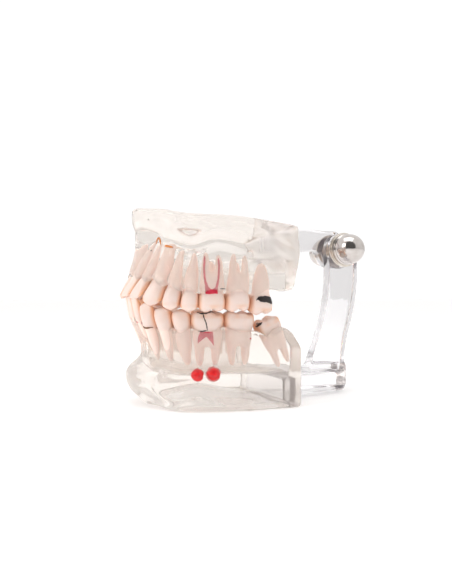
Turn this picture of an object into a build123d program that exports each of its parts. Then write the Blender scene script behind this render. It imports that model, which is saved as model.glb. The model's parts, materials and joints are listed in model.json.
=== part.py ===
"""Clear dental typodont: two cast resin jaws with embedded teeth, closed on each other and joined
behind by a riser, an arm and a cross bolt with domed nuts.

Millimetres. +Z is up, -Y is the front of the mouth, +X is the patient's left. The origin is the
middle of the length, on the surface that the lower jaw stands on.
"""

import os
from collections import namedtuple

from build123d import *

os.makedirs("parts", exist_ok=True)

# ---------------------------------------------------------------- driving dimensions
# Distances "back" run from the biting edge of the upper front teeth towards the hinge.
HINGE_BACK = 100.7
HINGE_HEIGHT = 63.3
ARM_EYE_RADIUS = 8.3
RISER_EYE_RADIUS = 7.4
LENGTH = HINGE_BACK + ARM_EYE_RADIUS

JAW_BACK = 64.8  # flat back walls of both castings
LOWER_HALF = 33.0  # half width of the lower flange
UPPER_HALF = 31.0  # half width of the upper flange
ARCH_ASPECT = 1.1  # depth of the round front of a casting over its half width

LOWER_GUM = 29.5  # height of the lower gum line at the side
LOWER_GUM_FRONT = 33.4
TONGUE_FLOOR = 11.5  # resin left under the tongue space
TONGUE_HALF = 15.5
TONGUE_FRONT = 21.5

UPPER_FRONT_TOP = 77.0  # height of the upper casting at its front edge
UPPER_BACK_TOP = 69.4
UPPER_GUM = 44.6  # height of the upper gum line at the side
UPPER_GUM_FRONT = 51.2
PALATE_ROOF = 57.5
PALATE_HALF = 16.0
PALATE_FRONT = 16.5

CROWN_GAP = 0.4  # play between neighbouring crowns
CONTACT_SHARE = 0.36  # neighbours are nearest at this share of the crown's height

RISER_THICKNESS = 6.0
ARM_THICKNESS = 6.0
SIDE_GAP = 0.1  # play between a turning face and a fixed one
BOLT_RADIUS = 2.5
RUNNING_GAP = 0.05  # radial play of the bolt in the arm
BOLT_IN_NUT = 6.0  # thread engagement in each domed nut
BOLT_CHAMFER = 0.4
WASHER_RADIUS = 7.7
WASHER_THICKNESS = 1.6
COLLAR_RADIUS = 6.9
COLLAR_THICKNESS = 1.4
DOME_RADIUS = 6.6
DOME_SHANK = 1.6  # straight part between the collar and the round end
EDGE_ROUND = 0.6

SLAB_BOTTOM = 1.0
SLAB_THICKNESS = 8.8
SLAB_HALF = 17.0
SLAB_END_HALF = 10.0
SLAB_CORNER = 5.0
SLAB_SHORT = 0.3  # the slab ends this far in front of the hinge axis
SLAB_TENON_STEP = 2.0
TENON_DEPTH = 6.0  # both brackets are let into the castings by this much
TENON_HALF = 14.0
ARM_TENON_HEIGHTS = (60.0, 68.0)

# Side view of the brackets, as (back from the hinge axis, height). The riser's edges give height as
# a share of the hinge height; the arm's are above the axis and above the top of its eye.
RISER_FOOT = (-15.6, -0.6)
RISER_SINK = 1.0
RISER_FRONT_EDGE = [(-12.5, 0.435), (-8.1, 0.64)]
RISER_REAR_EDGE = [(6.6, 0.71), (3.2, 0.43)]
ARM_UNDERSIDE = [(-19.0, -1.2), (-13.0, -0.6), (-8.0, -2.2), (-6.4, -5.2), (0.0, 0.0)]
ARM_TOPSIDE = [(1.0, -0.05), (-19.0, 1.2), (-29.2, 0.2)]

CANAL_WIDTH = 1.1
CHAMBER_DEPTH = 2.0  # how deep the red pulp inlays go into the cheek side of a tooth
CYST_RADII = (2.4, 2.8)


def back(distance):
    """Y of a point that far behind the upper biting edge."""
    return distance - LENGTH / 2


def write(builder, label):
    builder.part.label = label
    export_step(builder.part, f"parts/{label}.step")


# ---------------------------------------------------------------- teeth
# width runs along the arch, depth across it. tip is the height of the biting edge. lingual and
# distal are the sideways travel of the root per millimetre towards its tip.
Tooth = namedtuple("Tooth", "name kind width depth crown root tip lingual distal")
UPPER_TEETH = [
    Tooth("central_incisor", "incisor", 7.9, 6.6, 8.6, 12.0, 42.2, 0.42, 0.14),
    Tooth("lateral_incisor", "incisor", 6.4, 5.8, 8.0, 12.4, 41.4, 0.40, 0.10),
    Tooth("canine", "canine", 8.9, 7.4, 9.4, 12.4, 39.1, 0.28, 0.14),
    Tooth("first_premolar", "premolar", 7.2, 8.6, 8.4, 12.6, 38.0, 0.12, 0.12),
    Tooth("second_premolar", "premolar", 7.1, 8.6, 7.3, 13.0, 37.5, 0.06, 0.08),
    Tooth("first_molar", "upper_molar", 10.6, 10.4, 7.0, 14.0, 37.3, 0.02, 0.0),
    Tooth("second_molar", "upper_molar", 9.8, 10.2, 6.9, 14.0, 37.3, 0.02, 0.02),
    Tooth("third_molar", "premolar", 9.6, 9.0, 7.4, 12.2, 37.2, 0.0, 0.02),
]
LOWER_TEETH = [
    Tooth("central_incisor", "incisor", 4.4, 5.2, 9.4, 12.0, 42.8, 0.48, 0.0),
    Tooth("lateral_incisor", "incisor", 4.6, 5.4, 9.4, 12.4, 42.4, 0.44, 0.03),
    Tooth("canine", "canine", 6.9, 6.8, 9.8, 12.6, 39.8, 0.30, 0.08),
    Tooth("first_premolar", "premolar", 7.4, 7.4, 8.4, 12.0, 37.7, 0.12, 0.14),
    Tooth("second_premolar", "premolar", 7.6, 7.8, 7.6, 12.4, 37.2, 0.04, 0.10),
    Tooth("first_molar", "lower_molar", 13.1, 10.0, 7.6, 12.4, 37.0, 0.0, 0.0),
    Tooth("second_molar", "lower_molar", 12.2, 9.8, 7.2, 12.6, 36.9, 0.0, 0.0),
    Tooth("third_molar", "lower_molar", 9.6, 9.2, 6.6, 11.2, 35.4, 0.0, 0.0),
]
CROWN_LEAN = {"upper": 1.0, "lower": 0.4}  # lean of a crown over the lean of its root
WISDOM_TILT = 18.0  # the lower left third molar leans forward onto its neighbour
WISDOM_SHIFT = 1.5  # and sits a little further back

# Lip and cheek side outline of each arch, from the midline to the last tooth: (side, back).
UPPER_ARCH = [
    (0, 0),
    (8.3, 1.8),
    (14.3, 5.3),
    (19.5, 11.0),
    (23.0, 17.4),
    (25.7, 23.8),
    (28.4, 33.8),
    (29.6, 43.5),
    (29.9, 55.0),
]
LOWER_ARCH = [
    (0, 3.2),
    (5.2, 3.9),
    (10.4, 6.2),
    (15.2, 10.6),
    (19.0, 16.2),
    (22.0, 22.6),
    (25.6, 33.2),
    (27.6, 43.4),
    (28.4, 56.0),
]


def arch_curve(points):
    """The outline of a whole arch as one smooth edge, from the right end to the left end."""
    whole = [(-x, y) for x, y in reversed(points[1:])] + points
    return Edge.make_spline([Vector(x, back(y)) for x, y in whole])


def on_arch(arch, reach):
    """Point and direction on the left side, at that distance from the midline."""
    by_length, place = PositionMode.LENGTH, arch.length / 2 + reach
    return arch.position_at(place, position_mode=by_length), arch.tangent_at(place, position_mode=by_length)


def tooth_plane(arch, reach, tip, jaw):
    """Plane on the biting edge: x runs away from the midline and z towards the root."""
    point, along = on_arch(arch, reach)
    return Plane(origin=(point.X, point.Y, tip), x_dir=along, z_dir=(0, 0, jaw))


def inner_chord(arch, start, end, depth):
    """Room between the ends of a tooth, measured halfway through its depth."""
    ends = []
    for reach in (start, end):
        point, along = on_arch(arch, reach)
        ends.append(point + Vector(-along.Y, along.X) * depth / 2)
    return (ends[1] - ends[0]).length


def lean(tooth, height, crown_share):
    """Sideways travel of the long axis at that distance from the biting edge: (distal, inward)."""
    in_crown, in_root = min(height, tooth.crown), max(0.0, height - tooth.crown)
    past_contact = max(0.0, height - CONTACT_SHARE * tooth.crown)
    return tooth.distal * past_contact, tooth.lingual * (crown_share * in_crown + in_root)


def outline_sections(tooth):
    """(height, width, depth, middle) of the single-rooted kinds, from biting edge to root tip."""
    crown, root, width, depth = tooth.crown, tooth.root, tooth.width, tooth.depth
    neck = (0.76 * width, 0.92 * depth)
    edge, swell, middle = {
        "incisor": ((0.84 * width, 1.3), 0.62, 0.0),
        "canine": ((0.4 * width, 1.5), 0.84, 0.46),
        "premolar": ((0.6 * width, 0.56 * depth), 1.0, 0.5),
    }[tooth.kind]
    return [
        (0.0, *edge, middle * depth or edge[1] / 2),
        (CONTACT_SHARE * crown, width, swell * depth, max(middle, swell / 2) * depth),
        (crown, *neck, depth / 2),
        (crown + 0.5 * root, 0.66 * neck[0], 0.76 * neck[1], depth / 2),
        (crown + root, 0.24 * neck[0], 0.24 * neck[1], depth / 2),
    ]


def single_root(tooth, plane, inward, crown_share):
    with BuildPart() as body:
        for height, width, depth, middle in outline_sections(tooth):
            distal, lingual = lean(tooth, height, crown_share)
            with BuildSketch(plane.offset(height)):
                with Locations((distal, inward * (lingual + middle))):
                    Ellipse(width / 2, depth / 2)
        loft()
    return body


def root_places(tooth):
    """(x, y, width, depth) of each root at the neck, y counted from the cheek side."""
    w, d = tooth.width, tooth.depth
    if tooth.kind == "upper_molar":
        return [
            (-0.22 * w, 0.30 * d, 0.36 * w, 0.34 * d),
            (0.22 * w, 0.30 * d, 0.34 * w, 0.34 * d),
            (0.0, 0.70 * d, 0.42 * w, 0.36 * d),
        ]
    return [(-0.22 * w, 0.5 * d, 0.36 * w, 0.62 * d), (0.22 * w, 0.5 * d, 0.36 * w, 0.62 * d)]


def molar(tooth, plane, inward, crown_share):
    crown, root, middle = tooth.crown, tooth.root, tooth.depth / 2
    shells = [(0.0, 0.76, 0.62), (0.16, 0.95, 0.9), (0.45, 1.0, 1.0), (1.0, 0.86, 0.86), (1.35, 0.8, 0.76)]
    with BuildPart() as body:
        for share, wide, deep in shells:
            height = share * crown
            distal, lingual = lean(tooth, height, crown_share)
            with BuildSketch(plane.offset(height)):
                with Locations((distal, inward * (lingual + middle))):
                    RectangleRounded(tooth.width * wide, tooth.depth * deep, 0.28 * tooth.depth * deep)
        loft()
        for x, y, wide, deep in root_places(tooth):
            for share, size in ((0.0, 1.0), (0.55, 0.72), (1.0, 0.26)):
                height = crown + 1.0 + share * (root - 1.0)
                distal, lingual = lean(tooth, height, crown_share)
                with BuildSketch(plane.offset(height)):
                    with Locations((x + distal, inward * (y + lingual))):
                        Ellipse(wide * size / 2, deep * size / 2)
            loft()
    return body


def build_tooth(tooth, plane, inward, crown_share):
    if tooth.kind in ("upper_molar", "lower_molar"):
        return molar(tooth, plane, inward, crown_share)
    return single_root(tooth, plane, inward, crown_share)


def make_arch(teeth, points, prefix):
    """Builds both sides of one arch. Returns the teeth by node name, and the left planes."""
    arch = arch_curve(points)
    jaw = 1 if prefix == "upper" else -1
    parts, planes, reach = {}, {}, 0.0
    for tooth in teeth:
        chord = inner_chord(arch, reach, reach + tooth.width, tooth.depth)
        fitted = tooth._replace(width=chord - CROWN_GAP)
        plane = tooth_plane(arch, reach + tooth.width / 2, tooth.tip, jaw)
        left = build_tooth(fitted, plane, jaw, CROWN_LEAN[prefix])
        with BuildPart() as right:
            mirror(left.part, about=Plane.YZ)
        if (prefix, tooth.name) == ("lower", "third_molar"):
            tipped = Plane(plane.from_local_coords(Vector(WISDOM_SHIFT, 0, 0)), plane.x_dir, plane.z_dir)
            left = build_tooth(fitted, tipped.rotated((0, WISDOM_TILT, 0)), jaw, CROWN_LEAN[prefix])
        parts[f"{prefix}_left_{tooth.name}"] = left
        parts[f"{prefix}_right_{tooth.name}"] = right
        planes[tooth.name] = plane
        reach += tooth.width
    return parts, planes


upper_teeth, upper_planes = make_arch(UPPER_TEETH, UPPER_ARCH, "upper")
lower_teeth, lower_planes = make_arch(LOWER_TEETH, LOWER_ARCH, "lower")


# ---------------------------------------------------------------- red anatomy inlays
def cheek_inlay(plane, outlines, depth, inward):
    """Solid that cuts into the cheek side of a tooth; outlines are (along, towards root) loops."""
    face = Plane(plane.origin, x_dir=plane.x_dir, z_dir=plane.y_dir * inward)
    side = 1 if (face.y_dir.Z > 0) == (plane.z_dir.Z > 0) else -1
    with BuildPart() as inlay:
        with BuildSketch(face.offset(-0.2)):
            for outline in outlines:
                with BuildLine():
                    Polyline([(x, side * h) for x, h in outline], close=True)
                make_face()
        extrude(amount=depth)
    return inlay


def canal(x_foot, foot, x_bend, bend, x_tip, tip):
    """Outline of one narrow root canal, from the chamber to the root tip."""
    w = CANAL_WIDTH / 2
    rising = [(x_foot - w, foot), (x_bend - w, bend), (x_tip - w, tip)]
    falling = [(x_tip + w, tip), (x_bend + w, bend), (x_foot + w, foot)]
    return rising + falling


canals = cheek_inlay(
    upper_planes["first_molar"],
    [
        [(-2.4, 7.2), (-2.2, 9.6), (0.0, 8.6), (2.2, 9.8), (2.4, 7.2)],
        canal(-1.6, 9.0, -2.7, 14.0, -2.6, 20.0),
        canal(1.6, 9.0, 2.5, 14.0, 2.7, 19.6),
    ],
    CHAMBER_DEPTH + 0.8,
    1,
)
pulp = cheek_inlay(
    lower_planes["first_molar"],
    [[(-1.4, 8.6), (2.6, 8.2), (2.9, 13.8), (0.9, 10.8), (-2.6, 13.2), (-2.2, 10.4)]],
    CHAMBER_DEPTH + 0.8,
    -1,
)
upper_teeth["upper_left_first_molar"].part -= canals.part
lower_teeth["lower_left_first_molar"].part -= pulp.part


# ---------------------------------------------------------------- cysts on the lower molar roots
first_molar_plane = lower_planes["first_molar"]
molar_length = LOWER_TEETH[5].crown + LOWER_TEETH[5].root
with BuildPart() as cysts:
    for along, radius in zip((-2.9, 2.9), CYST_RADII):
        centre = first_molar_plane.from_local_coords(Vector(along, -2.4, molar_length + radius + 0.3))
        with Locations(centre):
            Sphere(radius)


# ---------------------------------------------------------------- castings
def arch_outline(front, half, rear):
    """Plan outline of a casting: half an ellipse in front, straight sides, flat back."""
    centre = back(front) + ARCH_ASPECT * half
    with BuildLine() as line:
        EllipticalCenterArc((0, centre), half, ARCH_ASPECT * half, 180, arc_size=180)
        Polyline([(half, centre), (half, back(rear)), (-half, back(rear)), (-half, centre)])
    return line.line


def stacked(sections, rear):
    """Ruled loft through (height, front, half width) outlines."""
    with BuildPart() as body:
        for height, front, half in sections:
            with BuildSketch(Plane.XY.offset(height)):
                with BuildLine():
                    add(arch_outline(front, half, rear))
                make_face()
        loft(ruled=True)
    return body


def side_profile(points, half):
    """Solid of a side view outline, given as (back, height) points, both ways from the middle."""
    with BuildPart() as body:
        with BuildSketch(Plane.YZ):
            with BuildLine():
                Polyline([(back(y), z) for y, z in points], close=True)
            make_face()
        extrude(amount=half, both=True)
    return body


lower_shape = stacked(
    [
        (0.0, 9.9, LOWER_HALF - 5.5),
        (4.5, 4.2, LOWER_HALF - 1.2),
        (7.0, 2.9, LOWER_HALF),
        (13.0, 2.9, LOWER_HALF),
        (21.0, 9.3, LOWER_HALF - 3.0),
        (26.0, 8.4, LOWER_HALF - 2.4),
        (LOWER_GUM, 6.9, LOWER_HALF - 2.2),
        (LOWER_GUM_FRONT, 4.9, LOWER_HALF - 2.6),
    ],
    JAW_BACK,
)
tongue_space = stacked(
    [
        (TONGUE_FLOOR, TONGUE_FRONT + 3.0, TONGUE_HALF - 1.5),
        (LOWER_GUM_FRONT + 2.0, TONGUE_FRONT, TONGUE_HALF),
    ],
    JAW_BACK + 5.0,
)
lower_gum_cut = side_profile(
    [
        (-5, LOWER_GUM_FRONT - 0.8),
        (7, LOWER_GUM_FRONT - 0.4),
        (18, LOWER_GUM),
        (JAW_BACK - 4, LOWER_GUM - 0.4),
        (JAW_BACK + 1, LOWER_GUM - 5),
        (JAW_BACK + 1, LOWER_GUM_FRONT + 5),
        (-5, LOWER_GUM_FRONT + 5),
    ],
    LOWER_HALF + 5,
)

upper_shape = stacked(
    [
        (UPPER_GUM - 1.0, 4.4, UPPER_HALF - 0.4),
        (UPPER_GUM_FRONT, 4.0, UPPER_HALF),
        (58.0, 6.6, UPPER_HALF - 0.4),
        (64.6, 9.1, UPPER_HALF - 1.4),
        (71.7, 5.6, UPPER_HALF),
        (UPPER_FRONT_TOP + 1.0, 5.6, UPPER_HALF),
    ],
    JAW_BACK,
)
palate_space = stacked(
    [
        (UPPER_GUM - 2.0, PALATE_FRONT, PALATE_HALF),
        (PALATE_ROOF, PALATE_FRONT + 9.0, PALATE_HALF - 7.0),
    ],
    JAW_BACK + 5.0,
)
upper_side = side_profile(
    [
        (-1, UPPER_GUM_FRONT),
        (8, UPPER_GUM_FRONT - 0.8),
        (14, UPPER_GUM_FRONT - 3.0),
        (21, UPPER_GUM + 1.6),
        (28, UPPER_GUM),
        (JAW_BACK - 2.5, UPPER_GUM),
        (JAW_BACK - 1.5, UPPER_GUM + 4.0),
        (JAW_BACK, UPPER_GUM + 14.0),
        (JAW_BACK, UPPER_BACK_TOP),
        (5.6, UPPER_FRONT_TOP),
        (-1, UPPER_FRONT_TOP),
    ],
    UPPER_HALF + 5,
)

# ---------------------------------------------------------------- hinge stack, from the middle out
riser_in = SIDE_GAP / 2
riser_out = riser_in + RISER_THICKNESS
arm_in = -SIDE_GAP / 2
arm_out = arm_in - ARM_THICKNESS
left_washer_out = riser_out + WASHER_THICKNESS
right_washer_in = arm_out - SIDE_GAP
right_washer_out = right_washer_in - WASHER_THICKNESS
hinge_y = back(HINGE_BACK)


def across(x):
    """Plane square to the hinge axis at that side position, centred on the axis."""
    return Plane(origin=(x, hinge_y, HINGE_HEIGHT), x_dir=(0, 1, 0), z_dir=(1, 0, 0))


def slab_and_riser():
    """Foot plate bonded to the back of the lower casting, with the riser standing on it."""
    end = HINGE_BACK - SLAB_SHORT
    slab_top = SLAB_BOTTOM + SLAB_THICKNESS
    with BuildPart() as body:
        with BuildSketch(Plane.XY.offset(SLAB_BOTTOM)):
            with BuildLine():
                Polyline(
                    [
                        (-SLAB_HALF, back(JAW_BACK)),
                        (SLAB_HALF, back(JAW_BACK)),
                        (SLAB_END_HALF, back(end)),
                        (-SLAB_END_HALF, back(end)),
                    ],
                    close=True,
                )
            make_face()
        extrude(amount=SLAB_THICKNESS)
        rear_edges = body.edges().filter_by(Axis.Z).sort_by(Axis.Y)[-2:]
        fillet(rear_edges, SLAB_CORNER)
        with BuildSketch(Plane.XY.offset(SLAB_BOTTOM)):
            with Locations((0, back(JAW_BACK - TENON_DEPTH / 2))):
                Rectangle(2 * TENON_HALF, TENON_DEPTH)
        extrude(amount=SLAB_THICKNESS - SLAB_TENON_STEP)
        # Both edges of the riser are swept curves between the slab and the eye.
        rise = HINGE_HEIGHT
        foot = slab_top - RISER_SINK
        front = [(RISER_FOOT[0], foot)]
        front += [(y, share * rise) for y, share in RISER_FRONT_EDGE] + [(-RISER_EYE_RADIUS, rise)]
        rear = [(RISER_EYE_RADIUS, rise)]
        rear += [(y, share * rise) for y, share in RISER_REAR_EDGE] + [(RISER_FOOT[1], foot)]
        with BuildSketch(Plane.YZ.offset(riser_in)):
            with BuildLine():
                Spline([(hinge_y + y, z) for y, z in front])
                Line((hinge_y - RISER_EYE_RADIUS, rise), (hinge_y + RISER_EYE_RADIUS, rise))
                Spline([(hinge_y + y, z) for y, z in rear])
                Line((hinge_y + RISER_FOOT[1], foot), (hinge_y + RISER_FOOT[0], foot))
            make_face()
            with Locations((hinge_y, rise)):
                Circle(RISER_EYE_RADIUS)
                Circle(BOLT_RADIUS, mode=Mode.SUBTRACT)
        extrude(amount=RISER_THICKNESS)
    return body


def upper_arm():
    """Flat arm let into the back of the upper casting, with the turning eye on its end."""
    low, high = ARM_TENON_HEIGHTS
    root, eye_top = JAW_BACK - TENON_DEPTH, HINGE_HEIGHT + ARM_EYE_RADIUS
    outline = [(root, low), (JAW_BACK, low)]
    outline += [(HINGE_BACK + y, HINGE_HEIGHT + z) for y, z in ARM_UNDERSIDE]
    outline += [(HINGE_BACK + y, eye_top + z) for y, z in ARM_TOPSIDE]
    outline += [(JAW_BACK, high), (root, high)]
    with BuildPart() as body:
        with BuildSketch(Plane.YZ.offset(arm_out)):
            with BuildLine():
                Polyline([(back(y), z) for y, z in outline], close=True)
            make_face()
            with Locations((hinge_y, HINGE_HEIGHT)):
                Circle(ARM_EYE_RADIUS)
                Circle(BOLT_RADIUS + RUNNING_GAP, mode=Mode.SUBTRACT)
        extrude(amount=ARM_THICKNESS)
    return body


def washer(start):
    with BuildPart() as body:
        with BuildSketch(across(start)):
            Circle(WASHER_RADIUS)
            Circle(BOLT_RADIUS, mode=Mode.SUBTRACT)
        extrude(amount=WASHER_THICKNESS)
        rims = body.edges().filter_by(GeomType.CIRCLE).sort_by(SortBy.RADIUS)[-2:]
        fillet(rims, EDGE_ROUND)
    return body


def domed_nut(start, outward):
    """Collar, short shank and round end, with a blind bore for the bolt."""
    collar, shank = COLLAR_THICKNESS, COLLAR_THICKNESS + DOME_SHANK
    depth = BOLT_IN_NUT
    section = Plane(origin=(start, hinge_y, HINGE_HEIGHT), x_dir=(outward, 0, 0), z_dir=(0, 0, 1))
    with BuildPart() as body:
        with BuildSketch(section):
            with BuildLine():
                Polyline(
                    [
                        (depth, 0),
                        (depth, BOLT_RADIUS),
                        (0, BOLT_RADIUS),
                        (0, COLLAR_RADIUS),
                        (collar, COLLAR_RADIUS),
                        (collar, DOME_RADIUS),
                        (shank, DOME_RADIUS),
                    ]
                )
                RadiusArc((shank, DOME_RADIUS), (shank + DOME_RADIUS, 0), DOME_RADIUS)
                Line((shank + DOME_RADIUS, 0), (depth, 0))
            make_face()
        revolve(axis=Axis((0, hinge_y, HINGE_HEIGHT), (1, 0, 0)))
    return body


bracket = slab_and_riser()
arm = upper_arm()

with BuildPart() as bolt:
    with BuildSketch(across(right_washer_out - BOLT_IN_NUT)):
        Circle(BOLT_RADIUS)
    extrude(amount=left_washer_out - right_washer_out + 2 * BOLT_IN_NUT)
    chamfer(bolt.edges().filter_by(GeomType.CIRCLE), BOLT_CHAMFER)

write(bolt, "hinge_bolt")
write(bracket, "lower_hinge_bracket")
write(arm, "upper_hinge_arm")
write(washer(riser_out), "left_hinge_washer")
write(washer(right_washer_out), "right_hinge_washer")
write(domed_nut(left_washer_out, 1), "left_domed_nut")
write(domed_nut(right_washer_out, -1), "right_domed_nut")

# ---------------------------------------------------------------- castings, teeth and inlays
lower_shape.part -= tongue_space.part
lower_shape.part -= lower_gum_cut.part
for piece in [*lower_teeth.values(), pulp, cysts, bracket]:
    lower_shape.part -= piece.part

upper_shape.part &= upper_side.part
upper_shape.part -= palate_space.part
for piece in [*upper_teeth.values(), canals, arm]:
    upper_shape.part -= piece.part

write(lower_shape, "lower_jaw_base")
write(upper_shape, "upper_jaw_base")
write(cysts, "root_tip_cysts")
write(pulp, "lower_molar_pulp")
write(canals, "upper_molar_canals")
for label, piece in {**upper_teeth, **lower_teeth}.items():
    write(piece, label)
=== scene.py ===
"""Looks of the clear typodont: cast resin jaws, moulded teeth with roots, teaching marks and the
polished hinge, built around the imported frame.

Shapes are worked out in millimetres from the front of the upper teeth: (side, back, up). Each
organic piece is the zero level of a smooth field, negative inside.
"""

import json
import math
from collections import namedtuple

import bmesh
import bpy
import numpy as np
from mathutils import Matrix, Vector


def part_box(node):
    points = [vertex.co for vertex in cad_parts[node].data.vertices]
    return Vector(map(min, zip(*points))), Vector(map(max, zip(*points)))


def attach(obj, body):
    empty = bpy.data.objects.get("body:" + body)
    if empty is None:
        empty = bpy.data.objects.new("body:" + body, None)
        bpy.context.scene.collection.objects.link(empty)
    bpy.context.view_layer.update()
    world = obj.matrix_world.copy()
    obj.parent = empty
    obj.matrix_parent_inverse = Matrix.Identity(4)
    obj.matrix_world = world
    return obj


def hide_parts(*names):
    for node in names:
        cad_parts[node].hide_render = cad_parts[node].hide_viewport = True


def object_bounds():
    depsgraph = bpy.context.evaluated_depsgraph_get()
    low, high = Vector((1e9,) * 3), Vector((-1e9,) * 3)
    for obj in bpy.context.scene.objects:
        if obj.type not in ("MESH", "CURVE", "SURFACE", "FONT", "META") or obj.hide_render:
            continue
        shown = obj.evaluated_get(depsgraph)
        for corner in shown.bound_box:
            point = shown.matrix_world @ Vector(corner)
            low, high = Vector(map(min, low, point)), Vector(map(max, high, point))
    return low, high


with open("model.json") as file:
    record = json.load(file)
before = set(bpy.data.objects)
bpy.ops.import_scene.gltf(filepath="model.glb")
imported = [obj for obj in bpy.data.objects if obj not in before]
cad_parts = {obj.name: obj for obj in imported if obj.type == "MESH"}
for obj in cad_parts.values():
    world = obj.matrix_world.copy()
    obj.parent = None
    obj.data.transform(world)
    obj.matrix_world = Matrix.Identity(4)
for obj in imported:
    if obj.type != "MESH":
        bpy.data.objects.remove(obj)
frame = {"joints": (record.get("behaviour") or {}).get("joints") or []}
cad_box = [list(corner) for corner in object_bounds()]

MM = 0.001
HINGE = Vector(frame["joints"][0]["pos_m"]) / MM
FRONT = cad_box[0][1] / MM  # Y of the biting edge of the upper front teeth
HINGE_BACK = HINGE.y - FRONT
JAW_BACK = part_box("lower_jaw_base")[1][1] / MM - FRONT
UPPER_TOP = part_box("upper_jaw_base")[1][2] / MM


# ---------------------------------------------------------------- curves and fields
def curve_through(knots, values):
    """Natural cubic through the values, one column or several, as a function of the knot."""
    knots, values = np.asarray(knots, float), np.asarray(values, float)
    n, gap = len(knots), np.diff(knots)
    slope = (np.diff(values, axis=0).T / gap).T
    system, right = np.eye(n), np.zeros_like(values)
    for i in range(1, n - 1):
        system[i, i - 1 : i + 2] = gap[i - 1], 2 * (gap[i - 1] + gap[i]), gap[i]
        right[i] = 6 * (slope[i] - slope[i - 1])
    bend = np.linalg.solve(system, right)

    def at(where):
        where = np.clip(where, knots[0], knots[-1])
        i = np.clip(np.searchsorted(knots, where, side="right") - 1, 0, n - 2)
        t, h = where - knots[i], gap[i]
        if values.ndim > 1:
            t, h = t[..., None], h[..., None]
        first = slope[i] - h * (2 * bend[i] + bend[i + 1]) / 6
        return values[i] + t * (first + t * (bend[i] / 2 + t * (bend[i + 1] - bend[i]) / (6 * h)))

    return at


def easing(low, high, x):
    """0 at low, 1 at high, smooth between; low may be the greater."""
    t = np.clip((x - low) / (high - low), 0, 1)
    return t * t * (3 - 2 * t)


def both(a, b, blend):
    """Inside both fields, with the edge between them rounded over that distance."""
    t = np.clip(0.5 + 0.5 * (a - b) / blend, 0, 1)
    return b + (a - b) * t + blend * t * (1 - t)


def either(a, b, blend):
    """Inside one field or the other, with the corner between them filled over that distance."""
    return -both(-a, -b, blend)


def bump(x, centre, width):
    """1 at the centre, falling to nothing beyond about twice that width."""
    return np.exp(-(((x - centre) / width) ** 2))


# ---------------------------------------------------------------- surfaces from fields
CELL = np.array([(i, j, k) for i in (0, 1) for j in (0, 1) for k in (0, 1)])
CELL_EDGES = [
    (a, b) for a in range(8) for b in range(a + 1, 8) if abs(CELL[a] - CELL[b]).sum() == 1
]


def level_surface(field, low, high, step, polish=3):
    """(points, quads) of the closed zero level of field, by surface nets and Newton steps."""
    low = np.asarray(low, float) - 2 * step
    count = (np.ceil((np.asarray(high, float) + 2 * step - low) / step)).astype(int) + 1
    axes = [low[i] + step * np.arange(count[i]) for i in range(3)]
    value = np.empty(count)
    for i, x in enumerate(axes[0]):
        y, z = np.meshgrid(axes[1], axes[2], indexing="ij")
        value[i] = field(np.full_like(y, x).ravel(), y.ravel(), z.ravel()).reshape(y.shape)
    inside = value < 0
    near = np.zeros(count - 1, np.int8)
    for i, j, k in CELL:
        near += inside[i : count[0] - 1 + i, j : count[1] - 1 + j, k : count[2] - 1 + k]
    mixed = (near > 0) & (near < 8)
    cells = np.argwhere(mixed)
    number = np.full(count - 1, -1)
    number[mixed] = np.arange(len(cells))
    total, crossings = np.zeros((len(cells), 3)), np.zeros(len(cells))
    for a, b in CELL_EDGES:
        va, vb = value[tuple((cells + CELL[a]).T)], value[tuple((cells + CELL[b]).T)]
        cut = (va < 0) != (vb < 0)
        t = np.where(cut, va / np.where(cut, va - vb, 1), 0)
        total += np.where(cut[:, None], CELL[a] + t[:, None] * (CELL[b] - CELL[a]), 0)
        crossings += cut
    points = low + step * (cells + total / crossings[:, None])
    quads = []
    for d in range(3):
        a, b = (d + 1) % 3, (d + 2) % 3
        first = np.take(inside, range(count[d] - 1), axis=d)
        at = np.argwhere(first != np.take(inside, range(1, count[d]), axis=d))
        corners = []
        for da, db in ((-1, -1), (0, -1), (0, 0), (-1, 0)):
            cell = at.copy()
            cell[:, a] += da
            cell[:, b] += db
            corners.append(number[tuple(cell.T)])
        quad = np.stack(corners, 1)
        outward = first[tuple(at.T)]
        quads.append(np.where(outward[:, None], quad, quad[:, ::-1]))
    eps = 0.2 * step
    for _ in range(polish):
        x, y, z = points.T
        here = field(x, y, z)
        slope = np.stack([field(x + eps, y, z), field(x, y + eps, z), field(x, y, z + eps)], 1)
        slope = (slope - here[:, None]) / eps
        move = here / np.maximum((slope**2).sum(1), 0.05)
        points = points - slope * np.clip(move, -0.5 * step, 0.5 * step)[:, None]
    return points, np.concatenate(quads)


def make_piece(name, points, faces, body, slot, material, stands_for=(), attributes=None):
    """Mesh object from millimetre points, riding on a body and standing for CAD nodes."""
    mesh = bpy.data.meshes.new(name)
    placed = np.asarray(points, float) * MM + np.array([0, FRONT * MM, 0])
    mesh.from_pydata(placed.tolist(), [], [tuple(face) for face in faces])
    mesh.shade_smooth()
    for label, values in (attributes or {}).items():
        layer = mesh.attributes.new(label, "FLOAT", "POINT")
        layer.data.foreach_set("value", np.asarray(values, np.float32))
    piece = bpy.data.objects.new(name, mesh)
    bpy.context.collection.objects.link(piece)
    mesh.materials.append(material)
    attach(piece, body)
    if stands_for:
        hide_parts(*stands_for)
    return piece


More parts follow.
